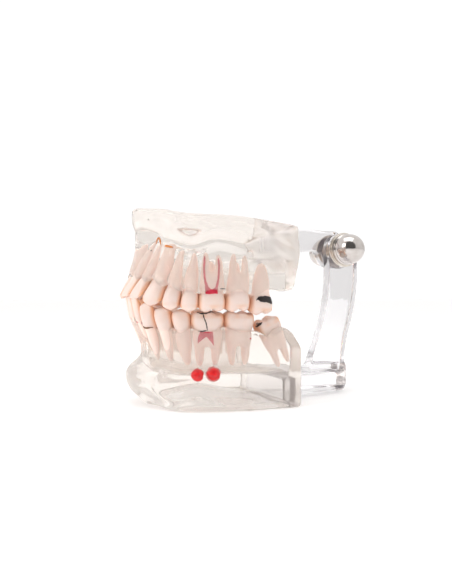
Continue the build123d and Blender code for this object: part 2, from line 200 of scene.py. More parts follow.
# ---------------------------------------------------------------- materials in socket maths
class Value:
    """A shader socket that Python arithmetic adds Math nodes to."""

    def __init__(self, shader, socket):
        self.shader, self.socket = shader, socket

    def maths(self, operation, *others):
        values = [self.socket] + [o.socket if isinstance(o, Value) else o for o in others]
        return self.shader.node("Math", {"operation": operation}, dict(enumerate(values)))

    def swapped(self, operation, other):
        return self.shader.node("Math", {"operation": operation}, {0: other, 1: self.socket})

    def __add__(self, other):
        return self.maths("ADD", other)

    def __radd__(self, other):
        return self.maths("ADD", other)

    def __sub__(self, other):
        return self.maths("SUBTRACT", other)

    def __rsub__(self, other):
        return self.swapped("SUBTRACT", other)

    def __mul__(self, other):
        return self.maths("MULTIPLY", other)

    def __rmul__(self, other):
        return self.maths("MULTIPLY", other)

    def __pow__(self, other):
        return self.maths("POWER", other)

    def sine(self):
        return self.maths("SINE")

    def ease(self, low, high):
        """0 below low, 1 above high, smooth between."""
        ranged = {"interpolation_type": "SMOOTHSTEP"}
        return self.shader.node("MapRange", ranged, {0: self, 1: low, 2: high, 3: 0.0, 4: 1.0})


class Finish:
    """A material with one Principled shader, built by short calls."""

    MIX_COLOUR_INPUTS, MIX_COLOUR_OUTPUT = (0, 6, 7), 2  # share and both colours of a Mix node

    def __init__(self, name, **uniform):
        self.material = bpy.data.materials.new(name)
        self.material.use_nodes = True
        self.tree = self.material.node_tree
        self.shader = self.tree.nodes["Principled BSDF"]
        for label, value in uniform.items():
            self.shader.inputs[label.replace("_", " ")].default_value = value

    def node(self, kind, settings=None, inputs=None, out=0):
        made = self.tree.nodes.new("ShaderNode" + kind)
        for label, value in (settings or {}).items():
            setattr(made, label, value)
        for key, value in (inputs or {}).items():
            if isinstance(value, Value):
                value = value.socket
            if isinstance(value, bpy.types.NodeSocket):
                self.tree.links.new(value, made.inputs[key])
            else:
                made.inputs[key].default_value = value
        return Value(self, made.outputs[out])

    def place(self):
        return self.node("TexCoord", out="Object")

    def noise(self, size_mm, detail=3.0, rough=0.55):
        """Noise from 0 to 1 whose blotches are about that many millimetres across."""
        inputs = {"Vector": self.place(), "Scale": 1 / (size_mm * MM), "Detail": detail}
        return self.node("TexNoise", {}, {**inputs, "Roughness": rough})

    def attribute(self, name):
        return self.node("Attribute", {"attribute_name": name}, out="Fac")

    def mix(self, share, first, second):
        """Colour between two colours, each a tuple or a mixed colour."""
        made = self.tree.nodes.new("ShaderNodeMix")
        made.data_type = "RGBA"
        for i, value in zip(self.MIX_COLOUR_INPUTS, (share, first, second)):
            if isinstance(value, Value):
                self.tree.links.new(value.socket, made.inputs[i])
            else:
                made.inputs[i].default_value = value if isinstance(value, float) else (*value, 1.0)
        return Value(self, made.outputs[self.MIX_COLOUR_OUTPUT])

    def feed(self, label, value):
        self.tree.links.new(value.socket, self.shader.inputs[label])

    def bumpy(self, height, depth_mm):
        """Raises the surface by height, which runs from 0 to 1, times that depth."""
        inputs = {"Height": height, "Distance": depth_mm * MM, "Strength": 1.0}
        self.feed("Normal", self.node("Bump", {}, inputs))


def tooth_finish(name, crown, root, stain_and_glow):
    """Moulded tooth resin: paler crown, duller root, faint growth lines and a soft sheen, with random
    amber stains. The fissures, the sides beside neighbouring crowns and the biting edge are tinted
    amber as painted shade and painted glow, and the roots glow faintly as painted light.
    """
    f = Finish(name, IOR=1.5, Subsurface_Weight=0.12, Subsurface_Scale=0.0012)
    f.shader.inputs["Subsurface Radius"].default_value = (1.0, 0.62, 0.45)
    height, cloud = f.attribute("height"), f.noise(3.2, 4.0)
    on_root = f.attribute("root")
    body = f.mix(on_root, crown, root)
    body = f.mix((cloud - 0.4) * 0.3, body, stain_and_glow)
    # Amber painted shade in the fissures and painted glow beside neighbouring crowns and along the
    # biting edge.
    edge = f.attribute("groove") * 0.35 + f.attribute("rim") * 0.6
    f.feed("Base Color", f.mix(edge, body, stain_and_glow))
    # The crowns glow a trace and the roots faintly: painted light that brightens the teeth inside the
    # resin.
    f.shader.inputs["Emission Strength"].default_value = 1.0
    f.feed("Emission Color", f.mix(on_root, (0.015, 0.01, 0.008), tuple(0.13 * c for c in root)))
    f.feed("Roughness", 0.3 + 0.16 * f.noise(1.1) + 0.12 * on_root)
    lines = (height * 9.0 + cloud * 5.0).sine() * 0.5 + 0.5
    f.bumpy(0.35 * lines + 0.65 * f.noise(0.7, 5.0), 0.035)
    return f.material


def clear_finish(name, tint, haze, ripple_mm, through, ior, glow):
    """Cast clear resin: slightly warm, polished, with a faint flow in its surface and a faint painted
    glow in blotches.
    """
    f = Finish(name, IOR=ior, Transmission_Weight=through)
    cloud = f.noise(14.0, 2.0)
    f.feed("Base Color", f.mix(cloud.ease(0.35, 0.75), tint, tuple(c * 0.985 for c in tint)))
    f.feed("Roughness", haze + 0.05 * f.noise(2.5).ease(0.5, 0.8))
    # The resin glows faintly, more in some blotches than others: painted light that makes it brighter
    # and milkier.
    f.shader.inputs["Emission Strength"].default_value = 1.0
    depths = f.noise(9.0, 3.0).ease(0.35, 0.7)
    f.feed("Emission Color", f.mix(depths, glow, tuple(0.6 * c for c in glow)))
    f.bumpy(f.noise(4.0, 1.5), ripple_mm)
    return f.material


def opaque_finish(name, light, dark, size_mm, rough, grain_mm=0.03, glow=0.0):
    """Painted or moulded colour that varies between two shades over blotches of that size; glow makes
    it shine by itself, a painted light.
    """
    f = Finish(name, Emission_Strength=glow)
    cloud = f.noise(size_mm, 5.0, 0.65)
    # Emission in the same colours at the glow strength: painted light.
    f.feed("Emission Color", f.mix(cloud.ease(0.3, 0.7), light, dark))
    f.feed("Base Color", f.mix(cloud.ease(0.3, 0.7), light, dark))
    f.feed("Roughness", rough + 0.15 * f.noise(size_mm * 0.5))
    f.bumpy(f.noise(size_mm * 0.35, 4.0), grain_mm)
    return f.material


def polished_finish(name, light, dark, rough, ring_mm):
    """Plated metal with fine turning rings about the hinge axis and a few cloudy patches."""
    f = Finish(name, Metallic=1.0, IOR=2.2)
    cloud = f.noise(4.5, 4.0)
    f.feed("Base Color", f.mix(cloud.ease(0.4, 0.75), light, dark))
    to_axis = tuple(-v * MM for v in HINGE)
    axis = f.node("Mapping", {"vector_type": "POINT"}, {0: f.place(), 1: to_axis})
    parts = f.tree.nodes.new("ShaderNodeSeparateXYZ")
    f.tree.links.new(axis.socket, parts.inputs[0])
    y, z = Value(f, parts.outputs[1]), Value(f, parts.outputs[2])
    radius = (y * y + z * z) ** 0.5
    rings = (radius * (2 * math.pi / (ring_mm * MM))).sine() * 0.5 + 0.5
    f.feed("Roughness", rough + 0.05 * cloud + 0.04 * rings)
    f.bumpy(rings * 0.4 + 0.6 * f.noise(0.5, 3.0), 0.004)
    return f.material


# The last colour is the amber of the random stains and of the painted shade and glow at fissures,
# contacts and biting edges.
IVORY = tooth_finish("tooth_ivory", (0.92, 0.755, 0.69), (0.93, 0.75, 0.675), (0.90, 0.44, 0.20))
CAST = clear_finish(
    "cast_resin",
    tint=(0.945, 0.915, 0.885),
    haze=0.09,
    ripple_mm=0.05,
    through=0.8,
    ior=1.3,
    glow=(0.018, 0.012, 0.008),
)
ACRYLIC = clear_finish(
    "clear_bracket",
    tint=(0.965, 0.96, 0.972),
    haze=0.03,
    ripple_mm=0.03,
    through=0.95,
    ior=1.42,
    glow=(0.012, 0.01, 0.012),
)
# The red inlays and beads glow a little: painted light that keeps them bright inside the resin.
RED_INLAY = opaque_finish("red_inlay", (0.66, 0.035, 0.07), (0.48, 0.02, 0.045), 1.5, 0.3, glow=0.18)
RED_BEAD = opaque_finish("red_bead", (0.80, 0.02, 0.02), (0.55, 0.01, 0.015), 1.2, 0.22, glow=0.16)
CARIES = opaque_finish("caries_black", (0.010, 0.008, 0.009), (0.035, 0.024, 0.022), 0.9, 0.3, 0.05)
CALCULUS = opaque_finish("calculus_brown", (0.30, 0.13, 0.04), (0.12, 0.05, 0.02), 0.8, 0.5, 0.06)
AMBER = opaque_finish("amber_mark", (0.80, 0.27, 0.04), (0.62, 0.17, 0.02), 1.0, 0.35)
SORE = opaque_finish("sore_red", (0.75, 0.12, 0.12), (0.55, 0.05, 0.06), 0.6, 0.4)
CHROME = polished_finish("dome_chrome", (0.66, 0.62, 0.60), (0.52, 0.47, 0.44), 0.08, 0.5)
PLATED = polished_finish("washer_steel", (0.74, 0.69, 0.63), (0.58, 0.50, 0.42), 0.14, 0.3)
BRASSY = polished_finish("bolt_steel", (0.66, 0.52, 0.36), (0.42, 0.30, 0.19), 0.2, 0.4)


# ---------------------------------------------------------------- arches
ARCH_POINTS = 800  # along one side of an arch
TAIL_LENGTH, TAIL_POINTS = 24, 96  # straight run behind the last tooth


def arch(points):
    """Dense outline of one side from the midline: the reach of each point, and its (side, back)."""
    points = np.array(points, float)
    whole = np.concatenate([points[:0:-1] * (-1, 1), points])
    chord = np.concatenate([[0], np.cumsum(np.hypot(*np.diff(whole, axis=0).T))])
    dense = np.linspace(0, chord[-1], 2 * ARCH_POINTS + 1)
    line = curve_through(chord, whole)(dense)[ARCH_POINTS:]
    tail = line[-1] + np.outer(np.linspace(0, TAIL_LENGTH, TAIL_POINTS + 1)[1:], [0, 1])
    line = np.concatenate([line, tail])
    reach = np.concatenate([[0], np.cumsum(np.hypot(*np.diff(line, axis=0).T))])
    return reach, line


FRONT_OF_UPPER_ARCH = [(0, 0.6), (8.3, 2.2), (14.3, 5.5), (19.5, 11), (23, 17.4)]
BACK_OF_UPPER_ARCH = [(25.7, 23.8), (28.4, 33.8), (29.6, 43.5), (29.9, 55)]
FRONT_OF_LOWER_ARCH = [(0, 3.2), (5.2, 3.9), (10.4, 6.2), (15.2, 10.6), (19, 16.2)]
BACK_OF_LOWER_ARCH = [(22, 22.6), (25.6, 33.2), (27.6, 43.4), (28.4, 56)]
ARCHES = {
    "upper": arch(FRONT_OF_UPPER_ARCH + BACK_OF_UPPER_ARCH),
    "lower": arch(FRONT_OF_LOWER_ARCH + BACK_OF_LOWER_ARCH),
}


def arch_frame(jaw, reach, look=0.5):
    """Point of an arch at that reach, with its unit directions along the arch and inwards."""
    along, line = ARCHES[jaw]
    places = (reach, reach + look)
    here, ahead = (np.array([np.interp(p, along, line[:, i]) for i in (0, 1)]) for p in places)
    forward = (ahead - here) / np.linalg.norm(ahead - here)
    return here, forward, np.array([-forward[1], forward[0]])


# ---------------------------------------------------------------- teeth
# Millimetres: width along the arch, depth across it, crown and root lengths, height of the biting
# edge, and the travel of the root inwards and away from the midline for each millimetre of length.
Tooth = namedtuple("Tooth", "name kind width depth crown root tip lingual distal")
TEETH = {
    "upper": [
        Tooth("central_incisor", "incisor", 7.9, 6.8, 8.6, 12.8, 42.2, 0.52, 0.20),
        Tooth("lateral_incisor", "incisor", 6.4, 6.0, 8.0, 12.8, 41.4, 0.48, 0.28),
        Tooth("canine", "canine", 8.9, 7.8, 9.4, 13.4, 38.9, 0.32, 0.28),
        Tooth("first_premolar", "premolar", 7.2, 9.0, 8.8, 12.8, 37.3, 0.12, 0.20),
        Tooth("second_premolar", "premolar", 7.1, 9.0, 8.1, 13.2, 36.6, 0.06, 0.10),
        Tooth("first_molar", "upper_molar", 10.6, 11.0, 7.7, 14.2, 36.5, 0.02, 0.0),
        Tooth("second_molar", "upper_molar", 9.8, 10.8, 7.6, 14.0, 36.6, 0.02, 0.02),
        Tooth("third_molar", "third", 9.6, 9.4, 7.6, 12.2, 35.2, 0.0, 0.02),
    ],
    "lower": [
        Tooth("central_incisor", "incisor", 4.4, 5.6, 9.4, 12.0, 42.8, 0.48, 0.0),
        Tooth("lateral_incisor", "incisor", 4.6, 5.8, 9.4, 12.4, 42.4, 0.44, 0.03),
        Tooth("canine", "canine", 6.9, 7.2, 9.8, 13.2, 40.0, 0.30, 0.10),
        Tooth("first_premolar", "premolar", 7.4, 7.8, 8.8, 12.6, 38.6, 0.12, 0.18),
        Tooth("second_premolar", "premolar", 7.6, 8.2, 8.0, 13.6, 37.7, 0.04, 0.14),
        Tooth("first_molar", "lower_molar", 13.1, 10.4, 7.6, 13.6, 37.2, 0.0, 0.0),
        Tooth("second_molar", "lower_molar", 12.2, 10.2, 7.2, 13.8, 37.0, 0.0, 0.0),
        Tooth("third_molar", "lower_molar", 9.9, 9.6, 6.8, 13.0, 34.1, 0.0, 0.0),
    ],
}
CROWN_LEAN = {"upper": 1.0, "lower": 0.4}  # lean of a crown as a share of its root's
WISDOM_TILT, WISDOM_SHIFT = math.radians(22), 0.2  # the left lower third molar tips forward
BETWEEN = 0.06  # air between neighbouring crowns
LEAN_FROM = 0.36  # share of the crown's height where the sideways lean starts
WIDEST_INWARD = 0.33  # share of the depth at which neighbours come closest

# Cusps as (share of width, share of depth, drop from the biting plane).
CUSPS = {
    "premolar": [(0.0, 0.30, 0.0), (0.0, 0.74, 0.7)],
    "third": [(-0.22, 0.30, 0.1), (0.2, 0.3, 0.5), (0.0, 0.74, 0.8)],
    "upper_molar": [(-0.24, 0.25, 0.0), (0.24, 0.26, 0.25), (-0.2, 0.74, 0.15), (0.24, 0.76, 0.9)],
    "lower_molar": [
        (-0.28, 0.27, 0.1),
        (0.04, 0.25, 0.2),
        (0.34, 0.34, 0.7),
        (-0.24, 0.74, 0.0),
        (0.2, 0.74, 0.1),
    ],
}
CUSP_SLOPE, CUSP_TIP = 0.62, 0.8  # fall of a cusp's sides, and the size of its rounded tip

# Sections of a crown as (share of its height, half width, cheek face, tongue face), the last three
# as shares of the half width and the depth.
CROWNS = {
    "incisor": [
        (-0.1, 0.88, 0.05, 0.15),
        (0.1, 0.95, 0.015, 0.23),
        (0.36, 1.0, 0.0, 0.44),
        (0.72, 0.9, 0.0, 0.8),
        (1.0, 0.78, 0.03, 0.93),
    ],
    "canine": [
        (-0.1, 0.74, 0.14, 0.34),
        (0.12, 0.9, 0.09, 0.44),
        (0.4, 1.0, 0.02, 0.62),
        (0.74, 0.9, 0.0, 0.92),
        (1.0, 0.76, 0.03, 0.97),
    ],
    "premolar": [
        (-0.1, 0.8, 0.16, 0.86),
        (0.12, 0.93, 0.08, 0.94),
        (0.4, 1.0, 0.01, 1.0),
        (0.74, 0.9, 0.0, 0.98),
        (1.0, 0.76, 0.04, 0.92),
    ],
    "molar": [
        (-0.1, 0.84, 0.13, 0.87),
        (0.12, 0.94, 0.07, 0.93),
        (0.38, 1.0, 0.01, 1.0),
        (0.74, 0.95, 0.0, 0.98),
        (1.0, 0.84, 0.04, 0.93),
    ],
}
CROWNS["third"] = CROWNS["premolar"]
# The trunk of a molar goes on from there as (millimetres past the crown, and the same three shares).
TRUNK = [(2.0, 0.79, 0.07, 0.9), (4.5, 0.74, 0.1, 0.86), (7.0, 0.7, 0.13, 0.82)]
# A single root tapers as (share of its length, thickness).
TAPER = [(0.3, 0.92), (0.6, 0.74), (0.85, 0.48), (1.0, 0.34)]
# Molar roots as (side, depth share, half width, half depth, flare, length share).
ROOTS = {
    "upper_molar": [
        (-0.21, 0.27, 0.2, 0.19, -0.3, 1.0),
        (0.22, 0.28, 0.19, 0.18, 0.4, 0.96),
        (0.0, 0.7, 0.2, 0.17, 0.2, 0.8),
    ],
    "lower_molar": [(-0.21, 0.5, 0.18, 0.32, -0.2, 1.0), (0.22, 0.5, 0.17, 0.3, 0.3, 0.98)],
}
ROOTS_PART = {"upper_molar": 6.8, "lower_molar": 6.0}  # below the crown, where the trunk ends
# How square a crown's section is, where 2 is an ellipse.
SQUARENESS = {"incisor": 2.6, "canine": 2.3, "premolar": 2.4, "third": 2.6}
SQUARENESS |= dict.fromkeys(ROOTS, 3.2)


def crown_and_trunk(tooth):
    """Half width and the cheek and tongue faces against height, as one curve with three columns."""
    c, w, d = tooth.crown, tooth.width / 2, tooth.depth
    crown = CROWNS["molar" if tooth.kind in ROOTS else tooth.kind]
    sections = [(share * c, *row) for share, *row in crown]
    if tooth.kind in ROOTS:
        sections += [(c + past, *row) for past, *row in TRUNK]
    heights = [height for height, *_ in sections]
    rows = [(half * w, cheek * d, tongue * d) for _, half, cheek, tongue in sections]
    if tooth.kind not in ROOTS:
        for part, thick in TAPER:
            heights.append(c + part * tooth.root)
            thickness = 0.44 * d * thick
            rows.append((0.74 * w * (0.1 + 0.9 * thick), 0.5 * d - thickness, 0.5 * d + thickness))
    return curve_through(heights, rows)


def tooth_field(tooth):
    """Field of one tooth in its own place: side, inward, height from the biting edge."""
    faces, whole, square = crown_and_trunk(tooth), tooth.crown + tooth.root, SQUARENESS[tooth.kind]
    cusps = [(a * tooth.width, b * tooth.depth, drop) for a, b, drop in CUSPS.get(tooth.kind, [])]

    def biting(x, y):
        if tooth.kind == "incisor":
            lobes = 0.07 * np.cos(x / tooth.width * 6 * np.pi)
            return 0.12 + lobes + 0.9 * (np.abs(2 * x / tooth.width)) ** 5 + 0.12 * easing(0, 3, x)
        if tooth.kind == "canine":
            return np.sqrt(x**2 + 0.5) * 0.5 - 0.35 + 0.1 * np.abs(x - 0.4)
        low = None
        for a, b, drop in cusps:
            far = np.sqrt((x - a) ** 2 + (y - b) ** 2 + CUSP_TIP**2) - CUSP_TIP
            cone = drop + CUSP_SLOPE * far
            low = cone if low is None else either(low, cone, 0.12)
        return low

    def at(x, y, h):
        row = faces(h)
        half, cheek, tongue = row[..., 0], row[..., 1], row[..., 2]
        deep, middle = (tongue - cheek) / 2, (tongue + cheek) / 2
        on_crown = easing(tooth.crown, 0.3 * tooth.crown, h)
        lobes = 1 + 0.012 * np.cos(x / tooth.width * 6 * np.pi) * on_crown
        neck = tooth.crown + 0.45 * np.cos(2 * np.arctan2(y - middle, x))
        enamel = 0.12 * easing(neck + 0.25, neck - 0.35, h)
        u, v = np.abs(x) / (half * lobes), np.abs(y - middle) / deep
        body = ((u**square + v**square) ** (1 / square) - 1) * np.minimum(half, deep) - enamel
        body = both(body, biting(x, y) - h, 0.5)
        if tooth.kind not in ROOTS:
            end = np.sqrt(np.clip(1 - np.clip((h - whole + 2.2) / 2.2, 0, 1) ** 2, 0, 1))
            body = body + (1 - end) * 1.2
            return both(body, h - whole, 0.8)
        trunk = both(body, h - tooth.crown - ROOTS_PART[tooth.kind], 2.4)
        for a, b, wide, thick, flare, length in ROOTS[tooth.kind]:
            start, finish = tooth.crown + 0.5, tooth.crown + tooth.root * length
            t = np.clip((h - start) / (finish - start), 0, 1)
            size = (1 - 0.36 * t) * np.sqrt(np.clip(1 - t**8, 0, 1))
            x0 = a * tooth.width + flare * (1.6 * t - 1.3 * t**3)
            y0 = b * tooth.depth
            rx, ry = wide * tooth.width * size + 1e-3, thick * tooth.depth * size + 1e-3
            cone = (np.sqrt(((x - x0) / rx) ** 2 + ((y - y0) / ry) ** 2) - 1) * np.minimum(rx, ry)
            cone = both(both(cone, h - finish, 0.5), start - h, 1.0)
            trunk = either(trunk, cone, 1.5)
        return trunk

    return at, biting


class Seat:
    """Where a tooth stands: turns its own (side, inward, height) into the arch's frame."""

    def __init__(self, jaw, tooth, reach, tilt=0.0, shift=0.0):
        middle = reach + tooth.width / 2 + shift
        here, forward, inward = arch_frame(jaw, middle)
        self.forward, self.inward = np.append(forward, 0.0), np.append(inward, 0.0)
        self.rise = np.array([0, 0, 1.0 if jaw == "upper" else -1.0])
        self.origin = np.append(here, tooth.tip)
        self.tooth, self.share, self.reach = tooth, CROWN_LEAN[jaw], middle
        if tilt:
            f, r = self.forward, self.rise
            self.forward = f * math.cos(tilt) - r * math.sin(tilt)
            self.rise = f * math.sin(tilt) + r * math.cos(tilt)

    def out(self, local):
        """From the tooth's own frame to the arch's, leaning the root as it goes."""
        t = self.tooth
        crown, root = np.minimum(local[:, 2], t.crown), np.maximum(local[:, 2] - t.crown, 0)
        side = local[:, 0] + t.distal * np.maximum(local[:, 2] - LEAN_FROM * t.crown, 0)
        inward = local[:, 1] + t.lingual * (self.share * crown + root)
        moves = ((side, self.forward), (inward, self.inward), (local[:, 2], self.rise))
        return self.origin + sum(np.outer(far, direction) for far, direction in moves)

    def mirrored(self):
        """Whether the tooth's own frame is left-handed, so that faces must be turned round."""
        return np.linalg.det([self.forward, self.inward, self.rise]) < 0


def fitted(jaw, tooth, reach):
    """The tooth with its width cut to the room between its neighbours, halfway in."""
    ends = []
    for place in (reach, reach + tooth.width):
        here, _, inward = arch_frame(jaw, place, 0.3)
        ends.append(here + inward * WIDEST_INWARD * tooth.depth)
    return tooth._replace(width=float(np.linalg.norm(ends[1] - ends[0])) - BETWEEN)


SEATS = {}
for jaw, teeth in TEETH.items():
    reach = 0.0
    for tooth in teeth:
        seat = Seat(jaw, tooth, reach)
        seat.tooth = fitted(jaw, tooth, reach)
        SEATS[jaw, tooth.name] = seat
        reach += tooth.width
tipped = SEATS["lower", "third_molar"]
before_tipped = sum(tooth.width for tooth in TEETH["lower"][:-1])
tilted_seat = Seat("lower", tipped.tooth, before_tipped, WISDOM_TILT, WISDOM_SHIFT)

WIDE_TOOTH = 6.0
TOOTH_STEP, NARROW_TOOTH_STEP = 0.34, 0.3
for (jaw, name), seat in SEATS.items():
    tooth = seat.tooth
    field, biting = tooth_field(tooth)
    half = 0.62 * tooth.width
    low, high = (-half, -0.6, -0.2), (half, tooth.depth + 0.6, tooth.crown + tooth.root + 0.2)
    step = TOOTH_STEP if tooth.width > WIDE_TOOTH else NARROW_TOOTH_STEP
    points, quads = level_surface(field, low, high, step)
    height = points[:, 2]
    on_root = easing(tooth.crown - 0.3, tooth.crown + 0.5, height)
    # Masks for the amber painted shade in the fissures and the painted glow beside neighbouring crowns
    # and at the biting edge.
    groove = easing(1.0, 1.7, biting(points[:, 0], points[:, 1])) * easing(3.4, 2.2, height)
    crowded = easing(0.33, 0.5, np.abs(points[:, 0]) / tooth.width)
    crowded = crowded * easing(tooth.crown + 2.0, tooth.crown - 2.0, height)
    rim = np.maximum(crowded, 0.3 * easing(0.9, 0.1, height))
    extra = {"height": height, "root": on_root, "groove": groove, "rim": rim}
    for side in ("left", "right"):
        own = tilted_seat if (jaw, name, side) == ("lower", "third_molar", "left") else seat
        place = own.out(points)
        if side == "right":
            place = place * (-1, 1, 1)
        faces = quads[:, ::-1] if (side == "right") != seat.mirrored() else quads
        node = f"{jaw}_{side}_{name}"
        make_piece("moulded_" + node, place, faces, f"{jaw}_jaw", "tooth", IVORY, [node], extra)


# ---------------------------------------------------------------- castings
class ArchMap:
    """Signed distance to an arch's outline, positive outside, and the reach of its nearest point."""

    STEP, SIDE_SPAN, BACK_SPAN = 0.5, (-1, 44), (-16, 84)
    EVERY = 4  # how many outline points are stepped over

    def __init__(self, jaw):
        along, line = ARCHES[jaw]
        line, along = line[:: self.EVERY], along[:: self.EVERY]
        self.xs, self.ys = (np.arange(*span, self.STEP) for span in (self.SIDE_SPAN, self.BACK_SPAN))
        x, y = np.meshgrid(self.xs, self.ys, indexing="ij")
        flat = np.stack([x.ravel(), y.ravel()], 1)
        gap = ((flat[:, None] - line[None]) ** 2).sum(2)
        best = gap.argmin(1).clip(1, len(line) - 2)
        step = line[best + 1] - line[best - 1]
        length = np.hypot(*step.T)
        off = flat - line[best]
        side = (step[:, 1] * off[:, 0] - step[:, 0] * off[:, 1]) / length
        forward = (off * step).sum(1) / length
        far = np.sqrt(gap.min(1))
        flatness = np.abs(side) > 0.9 * far
        self.gap = np.where(flatness, side, np.copysign(far, side)).reshape(x.shape)
        self.reach = np.maximum(along[best] + np.where(flatness, forward, 0), 0).reshape(x.shape)

    def at(self, x, y):
        u = np.clip((np.abs(x) - self.xs[0]) / self.STEP, 0, len(self.xs) - 1.001)
        v = np.clip((y - self.ys[0]) / self.STEP, 0, len(self.ys) - 1.001)
        i, j = u.astype(int), v.astype(int)
        u, v = u - i, v - j
        found = []
        for grid in (self.gap, self.reach):
            low = grid[i, j] * (1 - v) + grid[i, j + 1] * v
            high = grid[i + 1, j] * (1 - v) + grid[i + 1, j + 1] * v
            found.append(low * (1 - u) + high * u)
        return found


BEHIND_LAST = 9  # the gum goes on that far past the middle of the last tooth
FLUTE = 0.62  # how much further out the resin stands over a root than between roots
LEDGE_BLEND = 5.5  # height over which a hand-trimmed ledge runs out
SIDE_FROM, SIDE_FULL = 12, 31  # reach where the front outline has turned into the side one
REAR_FROM, REAR_FULL = 46, 60  # and that one into the rear one


class Gum:
    """How the resin meets the teeth along one arch: neck height, tooth depth and root swellings."""

    def __init__(self, jaw):
        teeth = [SEATS[jaw, t.name] for t in TEETH[jaw]]
        self.up = 1.0 if jaw == "upper" else -1.0
        self.middles = np.array([s.reach for s in teeth])
        self.widths = np.array([s.tooth.width for s in teeth])
        necks = np.array([s.tooth.tip + self.up * s.tooth.crown for s in teeth])
        depths = np.array([s.tooth.depth for s in teeth])
        knots = np.concatenate([[-self.middles[0]], self.middles, [self.middles[-1] + BEHIND_LAST]])
        self.neck, self.depth = (
            curve_through(knots, np.concatenate([row[:1], row, row[-1:]])) for row in (necks, depths)
        )

    def swell(self, reach):
        """1 over the middle of each root and 0 between roots."""
        return sum(bump(reach, m, 0.34 * w) for m, w in zip(self.middles, self.widths))


def casting_field(jaw, profiles, ledge, trim, cover):
    """Walls of one casting. profiles are outlines for the front, side and rear, as (height, offset
    from the teeth); ledge is the height of the hand-trimmed ledge and trim how far it rises, as
    (reach, rise); cover is the resin behind the teeth."""
    plan, gum = ArchMap(jaw), Gum(jaw)
    front, side, rear = (curve_through(*zip(*p)) for p in profiles)
    rise = curve_through(*zip(*trim))
    up = gum.up

    def at(x, y, z):
        gap, reach = plan.at(x, y)
        uneven = reach + np.where(x < 0, 2.5 * easing(4, 20, reach), 0.0)
        level = z - rise(uneven) * bump(z, ledge, LEDGE_BLEND)
        middle, back = easing(SIDE_FROM, SIDE_FULL, reach), easing(REAR_FROM, REAR_FULL, reach)
        wall = front(level) * (1 - middle) + (side(level) * (1 - back) + rear(level) * back) * middle
        from_neck = (z - gum.neck(reach)) * up
        roots = gum.swell(reach)
        fluted = easing(0.0, 2.5, from_neck) * easing(15, 8, from_neck) * (1 - back)
        wall = wall + FLUTE * (roots - 0.5) * fluted
        tongue = -(gum.depth(reach) + cover + 0.1 * np.clip(from_neck, 0, 30))
        ring = both(gap - wall, tongue - gap, 1.5)
        return ring, gap, reach, from_neck, 1.3 - 2.0 * roots

    return at


LOWER_FRONT_FOOT = [(0, -7.4), (2, -5.0), (4.5, -2.0), (7.5, -0.5), (12, -0.4), (15, -2.0)]
LOWER_FRONT_FOLD = [(18, -5.2), (21, -6.3), (26, -5.7), (30, -3.9), (34, -1.6), (37, -0.6)]
LOWER_SIDE_FOOT = [(0, 3.0), (3, 3.4), (5.2, 3.3), (6.8, 2.3), (9, 1.4)]
LOWER_SIDE_WALL = [(13, 1.1), (18, 0.8), (26, 0.8), (37, 0.8)]
LOWER_REAR = [(0, 3.0), (8, 3.1), (16, 3.1), (24, 3.0), (30, 2.6), (37, 2.4)]
LOWER_FRONT_TRIM = [(0, 1.0), (10, 2.6), (18, 0.6), (26, -0.2), (34, 1.7)]
LOWER_REAR_TRIM = [(42, -1.6), (50, -2.6), (58, -2.4), (75, -2.0)]
UPPER_FRONT_WALL = [(40, 0.2), (44, -0.8), (51, -4.0), (55, -6.5), (60, -10.3), (63, -12.3)]
UPPER_FRONT_FOLD = [(65.5, -12.6), (68, -10.6), (70.5, -7.5), (73, -6.6), (80, -6.4)]
UPPER_SIDE_WALL = [(40, 0.6), (44, 0.7), (51, 0.8), (55, 0.6), (58.5, 0.2)]
UPPER_SIDE_FOLD = [(60.6, -1.2), (62.2, -1.3), (64.2, 0.3), (67, 1.0), (80, 0.8)]
UPPER_REAR = [(40, 0.2), (46, 0.4), (54, 0.4), (62, -0.2), (66, 0.0), (80, 0.0)]
UPPER_TRIM = [(0, 1.6), (12, 0.0), (20, 1.7), (28, 1.0), (35, -1.2), (43, 1.4), (52, 0.2), (75, 0.0)]
LOWER_WALL = casting_field(
    "lower",
    (LOWER_FRONT_FOOT + LOWER_FRONT_FOLD, LOWER_SIDE_FOOT + LOWER_SIDE_WALL, LOWER_REAR),
    ledge=6.5,
    trim=LOWER_FRONT_TRIM + LOWER_REAR_TRIM,
    cover=1.3,
)
UPPER_WALL = casting_field(
    "upper",
    (UPPER_FRONT_WALL + UPPER_FRONT_FOLD, UPPER_SIDE_WALL + UPPER_SIDE_FOLD, UPPER_REAR),
    ledge=62.0,
    trim=UPPER_TRIM,
    cover=1.5,
)
LOWER_FLOOR_TOP = 11.5  # floor of the tongue space
PALATE_TOP = 57.5
TOP_FRONT = 5.6  # where the trimmed top of the upper casting starts to fall
UPPER_FALL = 7.6  # drop of the trimmed top from front to back
BACK_ROUND = 2.2
LOWER_PAD, UPPER_PAD = 30.0, 44.9  # heights of the gum pads behind the last teeth


def lower_casting(x, y, z):
    ring, gap, reach, from_neck, crest = LOWER_WALL(x, y, z)
    floor_dip = 0.7 * bump(np.abs(x), 0, 7)
    floor = both(both(gap + 9.0, z - LOWER_FLOOR_TOP + floor_dip, 3.0), -z, 1.0)
    body = either(ring, floor, 4.0)
    pad = LOWER_PAD - 2.6 * easing(56, 63, y) - 3.6 * easing(60, 64.5, y) + 0.9 * bump(y, 57.5, 3.2)
    top = -from_neck - crest
    behind = easing(59.5, 63.0, reach)
    top = top * (1 - behind) + (z - pad) * behind
    body = both(body, top, 1.6)
    body = both(body, -z, 1.0)
    return both(body, y - JAW_BACK, BACK_ROUND)


